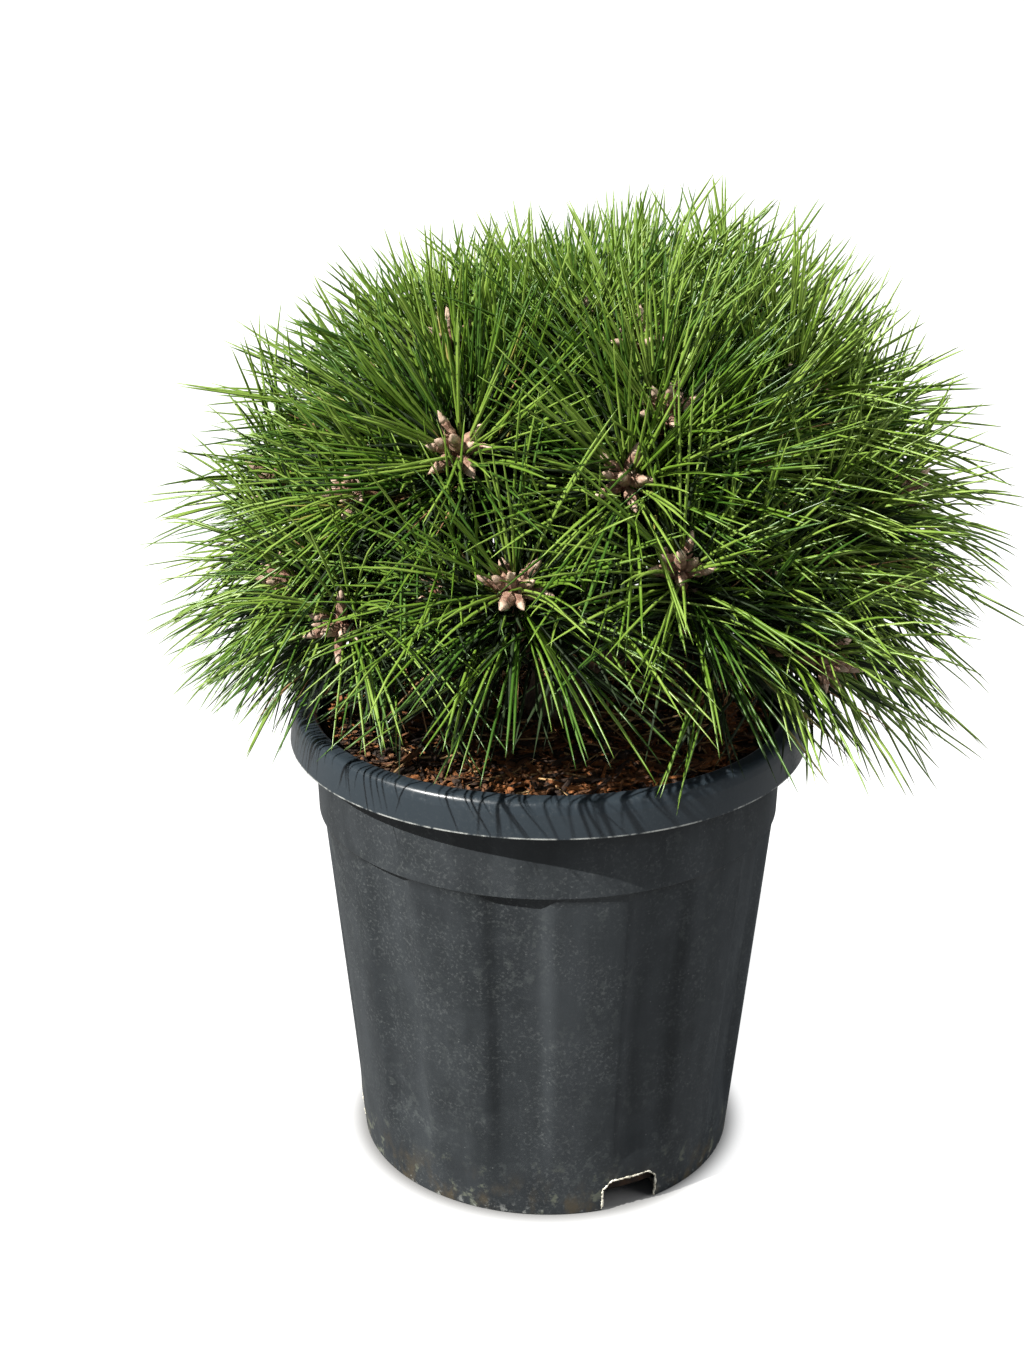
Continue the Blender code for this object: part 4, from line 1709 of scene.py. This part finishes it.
@dataclass
class Buds:
    """Each shoot's cluster of buds, with red-brown feet and resin tips.

    A main shoot has an outer ring, an inner ring and one bud in the middle. Leans are in
    radians off the shoot. Each row of the parts holds a finish, the number of sides,
    whether it is smooth, and the height and radius of its rings.
    """

    length: float = 0.0195
    radius: float = 0.0030
    main_size: Pair = (0.94, 1.1)
    side_size: float = 0.62
    main_ring: tuple[int, int] = (5, 7)
    side_ring: tuple[int, int] = (3, 5)
    main_inner: int = 2
    ring_lean: Pair = (0.75, 1.2)
    inner_lean: Pair = (0.35, 0.55)
    stray: float = 0.3
    apart: float = 0.0016
    sink: float = 0.002
    shorter: Pair = (0.62, 0.95)
    breadth: Pair = (0.85, 1.12)
    parts: tuple[tuple[Fibre, int, bool, tuple[Pair, ...]], ...] = (
        (
            Fibre("bud_scales", (0.140, 0.068, 0.046), (0.32, 0.205, 0.145), 420.0, relief=0.0008),
            7, False, (
                (0.0, 0.55), (0.12, 0.95), (0.25, 0.86), (0.40, 1.06), (0.52, 0.82),
                (0.66, 0.82), (0.76, 0.52), (0.88, 0.36), (1.0, 0.04),
            ),
        ),
        (
            Fibre(
                "bud_resin", (0.28, 0.185, 0.135), (0.45, 0.34, 0.26), 500.0, roughness=(0.4, 0.65)
            ),
            6, True, ((0.70, 0.74), (0.80, 0.58), (0.90, 0.40), (1.015, 0.05)),
        ),
        (
            Fibre("bud_feet", (0.075, 0.026, 0.017), (0.18, 0.075, 0.045), 400.0, relief=0.0006),
            6, True, ((-0.16, 0.75), (0.0, 1.12), (0.14, 1.14), (0.24, 0.80)),
        ),
    )

    def placed(self, shoots: Shoots, dice: np.random.Generator) -> dict[str, np.ndarray]:
        """Place the buds of every cluster.

        Args:
            shoots: The shoots that end in them.
            dice: The random numbers.

        Returns:
            Roots, ways, lengths and widths by name.
        """
        axes, _ = shoots.axes()
        first, second = across(axes)
        roots, ways, lengths, widths = [], [], [], []
        for number, full in enumerate(shoots.full):
            size = dice.uniform(*self.main_size) if full else self.side_size
            ring = int(dice.integers(*(self.main_ring if full else self.side_ring)))
            inner = self.main_inner if full else 0
            for place in range(ring + inner + 1):
                lean, turn = 0.0, 0.0
                if place < ring:
                    lean, turn = dice.uniform(*self.ring_lean), math.tau * place / ring
                elif place < ring + inner:
                    lean, turn = dice.uniform(*self.inner_lean), math.tau * (place - ring) / inner
                turn += dice.uniform(-self.stray, self.stray)
                aside = math.cos(turn) * first[number] + math.sin(turn) * second[number]
                ways.append(math.cos(lean) * axes[number] + math.sin(lean) * aside)
                root = shoots.tips[number] + aside * self.apart * (lean > 0)
                roots.append(root - axes[number] * self.sink)
                long = (1.0 if lean == 0.0 else dice.uniform(*self.shorter)) * size
                lengths.append(self.length * long)
                widths.append(self.radius * size * dice.uniform(*self.breadth))
        named = {"roots": roots, "ways": ways, "lengths": lengths, "widths": widths}
        return {name: np.array(rows) for name, rows in named.items()}

    def build(self, shoots: Shoots, dice: np.random.Generator, groups: Groups) -> None:
        """Build and report the buds, one piece for each part.

        Args:
            shoots: The shoots that end in them.
            dice: The random numbers.
            groups: The shared node groups.
        """
        given = self.placed(shoots, dice)
        for finish, sides, smooth, rings in self.parts:
            layer = spindle(sides, rings).drawn_along(**given)
            dressed(layer, finish, groups, Slot.BARK, smooth=smooth)


@dataclass
class Blades:
    """Needles of any age, kept inside the crown and clear of the pot."""

    pot: Pot
    crown: Crown
    length: float = 0.090
    radius: float = 0.00092
    clear: float = 0.0015
    shortest: float = 0.55
    trim: float = 0.94
    trims: int = 7
    raising: float = 0.11
    raisings: int = 6
    probes: tuple[float, ...] = (0.35, 0.55, 0.75, 0.9, 1.0)
    over: float = 0.03
    outer: Pair = (0.7, 0.5)

    def fitted(
        self, roots: np.ndarray, ways: np.ndarray, bends: np.ndarray, lengths: np.ndarray,
        limits: np.ndarray, slack: np.ndarray | float = 0.0,
    ) -> tuple[np.ndarray, np.ndarray, np.ndarray]:
        """Shorten needles that leave the crown, raise those too low, and drop the rest.

        Args:
            roots: Where the needles start.
            ways: Their unit directions.
            bends: How far each end is carried aside, as a share of the length.
            lengths: Their lengths.
            limits: The greatest share of the crown's reach for each tip.
            slack: How much lower than the rest each may hang beside the pot.

        Returns:
            The ways, the lengths, and which needles are kept.
        """
        shortest = self.shortest * self.length
        for _ in range(self.trims):
            tips = roots + (ways + bends) * lengths[:, None]
            out = self.crown.share(tips) > limits
            lengths = np.where(out, np.maximum(lengths * self.trim, shortest), lengths)
        for _ in range(self.raisings):
            low = np.zeros(len(roots), bool)
            for along in self.probes:
                spots = roots + (ways * along + bends * along * along) * lengths[:, None]
                low |= spots[:, 2] < self.crown.lowest(spots, self.pot, self.clear, slack)
            ways = np.where(low[:, None], unit(ways + self.raising * UP), ways)
        tips = roots + (ways + bends) * lengths[:, None]
        kept = ~low & (self.crown.share(tips) < limits + self.over)
        return ways, lengths, kept

    def scarcity(
        self, roots: np.ndarray, ways: np.ndarray, bends: np.ndarray, lengths: np.ndarray
    ) -> np.ndarray:
        """Give the share that the shaded hollow thins out, at a place well along each needle.

        Args:
            roots: Where the needles start.
            ways: Their unit directions.
            bends: How far each end is carried aside, as a share of the length.
            lengths: Their lengths.

        Returns:
            The share at each.
        """
        straight, bent = self.outer
        return self.crown.thinned(roots + (straight * ways + bent * bends) * lengths[:, None])


@dataclass
class Needles(Blades):
    """The living needles in pairs, dealt out by tone, and their sheaths.

    A pair's lean in degrees goes from near the bud to the far end of the bearing length,
    and both ends change with the shoot's rise. Tones go by the distance behind the bud, darker
    further back, partly for age and partly as painted shade; needles on the right side are dealt
    paler tones as painted light.
    """

    length_stray: float = 0.07
    length_span: Pair = (0.8, 1.15)
    flat: float = 0.8
    rings: tuple[Pair, ...] = (
        (0.0, 0.78), (0.22, 1.0), (0.48, 1.0), (0.74, 0.86), (0.92, 0.52), (1.0, 0.06),
    )
    bearing: float = 0.056
    bearing_most: float = 0.96
    bud_gap: float = 0.001
    bark: float = 0.0024
    spiral_stray: float = 0.12
    lean_rises: Pair = (12.0, 55.0)
    lean_near: Pair = (36.0, 20.0)
    lean_far: Pair = (82.0, 56.0)
    lean_power: float = 0.8
    lean_stray: float = 5.0
    lift: tuple[Pair, Pair] = ((8.0, 30.0), (0.0, 0.28))
    droop: tuple[Pair, Pair] = ((10.0, 45.0), (0.36, 0.05))
    opening: Pair = (0.02, 0.085)
    opening_bend: float = 0.35
    foot_apart: float = 0.0003
    uneven: float = 0.02
    curl_out: Pair = (0.03, 0.06)
    curl_free: float = 0.045
    outermost: Pair = (0.85, 1.03)
    stray: float = 0.011
    stray_most: float = 2.2
    # Painted light: by their x, needles on the right side get paler tones, and those on the left a
    # touch darker.
    painted_light_right: tuple[Pair, Pair] = ((0.03, 0.13), (-0.06, 0.38))
    tone_stray: float = 0.28
    # Tone bounds by distance behind the bud: tones darken further back, partly for the needles' age
    # and partly as painted shade deeper in the crown.
    tone_ends: Triple = (0.22, 0.62, 1.35)
    tones: tuple[Fibre, ...] = (
        needle_finish("needles_fresh", (0.098, 0.174, 0.018), (0.168, 0.250, 0.040)),
        needle_finish("needles_green", (0.056, 0.120, 0.008), (0.104, 0.178, 0.016)),
        needle_finish("needles_deep", (0.022, 0.064, 0.005), (0.050, 0.114, 0.010)),
        needle_finish("needles_yellowing", (0.16, 0.16, 0.030), (0.25, 0.22, 0.06)),
    )
    sheath_length: float = 0.0065
    sheath_radius: float = 0.0009
    sheath_rings: tuple[Pair, ...] = ((0.0, 1.25), (0.5, 1.0), (1.0, 1.2))
    sheaths: tuple[Fibre, Fibre] = (
        Fibre("sheaths_fresh", (0.24, 0.18, 0.12), (0.50, 0.42, 0.31), 300.0),
        Fibre("sheaths_old", (0.050, 0.034, 0.022), (0.13, 0.095, 0.06), 300.0),
    )

    def rooted(self, shoots: Shoots, dice: np.random.Generator) -> tuple[np.ndarray, ...]:
        """Place the needle pairs round each shoot by the golden angle.

        Args:
            shoots: The shoots that bear them.
            dice: The random numbers.

        Returns:
            The pairs' roots, ways, distance behind the bud as a share, shoot axes and droops.
        """
        axes, reaches = shoots.axes()
        first, second = across(axes)
        rows = []
        for number, (count, rise) in enumerate(zip(shoots.pairs, shoots.rises)):
            axis, behind = axes[number], (np.arange(count) + 0.5) / count
            turn = np.arange(count) * GOLDEN + dice.uniform(0.0, math.tau)
            turn += dice.normal(0.0, self.spiral_stray, count)
            near, far = (
                np.interp(rise, self.lean_rises, ends) for ends in (self.lean_near, self.lean_far)
            )
            lean = near + (far - near) * behind ** self.lean_power
            lean = np.radians(lean + dice.normal(0.0, self.lean_stray, count))
            aside = np.cos(turn)[:, None] * first[number] + np.sin(turn)[:, None] * second[number]
            lifted = unit(axis + np.interp(rise, *self.lift) * UP)
            way = unit(np.cos(lean)[:, None] * lifted + np.sin(lean)[:, None] * aside)
            bearing = min(self.bearing, reaches[number] * self.bearing_most)
            back = self.bud_gap + bearing * behind
            root = shoots.tips[number] - back[:, None] * axis + aside * self.bark
            droop = np.full(count, np.interp(rise, *self.droop))
            rows.append((root, way, behind, np.broadcast_to(axis, (count, 3)), droop))
        return tuple(np.concatenate(parts) for parts in zip(*rows))

    def build(self, shoots: Shoots, dice: np.random.Generator, groups: Groups) -> None:
        """Build and report the needles and their sheaths.

        Args:
            shoots: The shoots that bear them.
            dice: The random numbers.
            groups: The shared node groups.
        """
        roots, ways, behind, axes, droops = self.rooted(shoots, dice)
        count = len(roots)
        first, second = across(ways)
        turn = dice.uniform(0.0, math.tau, count)[:, None]
        apart = np.cos(turn) * first + np.sin(turn) * second
        opening = dice.uniform(*self.opening, count)[:, None]
        curl = dice.normal(*self.curl_out, (count, 1)) * axes
        curl += dice.normal(0.0, self.curl_free, (count, 3))
        curl[:, 2] -= droops * np.hypot(ways[:, 0], ways[:, 1])
        slack = np.abs(dice.normal(0.0, self.stray, count))
        slack = np.minimum(slack, self.stray_most * self.stray)
        limits = dice.uniform(*self.outermost, count)
        stretches = np.clip(dice.normal(1.0, self.length_stray, count), *self.length_span)
        lengths = self.length * stretches
        tone = behind + dice.normal(0.0, self.tone_stray, count)
        # Painted light: paler tones towards the right side.
        tone -= np.interp(roots[:, 0], *self.painted_light_right)
        kinds = np.digitize(tone, self.tone_ends)
        scarce = dice.uniform(0.0, 1.0, count)
        blade = spindle(3, self.rings)
        layers = {}
        for side in (-1.0, 1.0):
            own = unit(ways + side * opening * apart)
            bends = curl + side * opening * apart * self.opening_bend
            starts = roots + side * apart * self.foot_apart
            spans = lengths * (1.0 + self.uneven * side)
            own, spans, kept = self.fitted(starts, own, bends, spans, limits, slack)
            kept &= scarce > self.scarcity(starts, own, bends, spans)
            for kind in range(len(self.tones)):
                pick = (kinds == kind) & kept
                layer = blade.drawn_along(
                    starts[pick], own[pick], spans[pick], np.full(pick.sum(), self.radius),
                    bends[pick], turn[pick, 0] + side * 0.5 * math.pi, self.flat,
                )
                layers[kind] = layers[kind].joined_to(layer) if kind in layers else layer
        wrap = spindle(4, self.sheath_rings)
        fresh = behind < self.tone_ends[0]
        for finish, pick in zip(self.sheaths, (kept & fresh, kept & ~fresh)):
            sizes = (np.full(pick.sum(), size) for size in (self.sheath_length, self.sheath_radius))
            dressed(wrap.drawn_along(roots[pick], own[pick], *sizes), finish, groups, Slot.BARK)
        nodes = [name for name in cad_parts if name.startswith("tuft")]
        for kind, finish in enumerate(self.tones):
            dressed(layers[kind], finish, groups, Slot.NEEDLES, nodes)


@dataclass
class OldNeedles(Blades):
    """The older needles inside the crown: green ones in a near-black tone that is painted shade,
    and dry ones.

    Each row of the kinds holds a finish, a count, how far out along a shoot they start,
    and their radius.
    """

    kinds: tuple[tuple[Fibre, int, float, float], ...] = (
        (
            # Near-black green: painted shade inside the crown.
            Fibre("needles_painted_shade", (0.004, 0.010, 0.0015), (0.011, 0.024, 0.004), 90.0),
            5200, 0.85, 0.00092,
        ),
        (Fibre("dry_needles", (0.12, 0.060, 0.024), (0.26, 0.155, 0.070), 90.0), 420, 0.5, 0.0006),
    )
    along: float = 0.4
    way_stray: float = 0.6
    bend_stray: float = 0.10
    sag: float = 0.12
    lengths: Pair = (0.05, 0.085)
    outermost: float = 0.84
    thinning: float = 0.35

    def build(self, shoots: Shoots, dice: np.random.Generator, groups: Groups) -> None:
        """Build and report the older needles.

        Args:
            shoots: The shoots that bear them.
            dice: The random numbers.
            groups: The shared node groups.
        """
        axes, _ = shoots.axes()
        blade = spindle(3, PLAIN_BLADE)
        for finish, count, spread, radius in self.kinds:
            pick = dice.integers(0, len(axes), count)
            share = dice.uniform(0.0, spread, count)[:, None]
            roots = shoots.forks[pick] * (1.0 - share) + shoots.tips[pick] * share
            ways = unit(self.along * axes[pick] + dice.normal(0.0, self.way_stray, (count, 3)))
            bends = dice.normal(0.0, self.bend_stray, (count, 3)) - self.sag * UP
            lengths = dice.uniform(*self.lengths, count)
            limits = np.full(count, self.outermost)
            ways, lengths, kept = self.fitted(roots, ways, bends, lengths, limits)
            scarce = self.thinning * self.scarcity(roots, ways, bends, lengths)
            kept &= dice.uniform(0.0, 1.0, count) > scarce
            widths = np.full(kept.sum(), radius)
            layer = blade.drawn_along(roots[kept], ways[kept], lengths[kept], widths, bends[kept])
            dressed(layer, finish, groups, Slot.NEEDLES)


@dataclass
class Foliage:
    """Everything that grows on from the limbs: twigs, buds, sheaths and needles."""

    pot: Pot
    crown: Crown
    growth: Growth = Growth()

    def build(self, tufts: list[Tuft], groups: Groups) -> None:
        """Build and report the pieces in order, all from one run of random numbers.

        Args:
            tufts: The masses of needles.
            groups: The shared node groups.
        """
        dice = np.random.default_rng(SEED + 2)
        shoots = self.growth.shoots(self.crown, tufts, dice)
        LOG.info("%d shoots, %d of them full", len(shoots.full), int(shoots.full.sum()))
        Twigs(self.crown).build(tufts, shoots, groups)
        Buds().build(shoots, dice, groups)
        Needles(self.pot, self.crown).build(shoots, dice, groups)
        OldNeedles(self.pot, self.crown).build(shoots, dice, groups)


def main() -> None:
    """Build the studio and the plant's sub-assemblies in order."""
    logging.basicConfig(level=logging.INFO, format="%(name)s %(message)s")
    groups = Groups()
    Studio().build(groups)
    pot = Pot()
    crown = Crown()
    tufts = crown.tufts()
    pot.build(groups)
    Soil(pot).build(groups)
    Limbs(pot, crown).build(tufts, groups)
    Foliage(pot, crown).build(tufts, groups)
    bpy.context.view_layer.update()


if __name__ == "__main__":
    main()
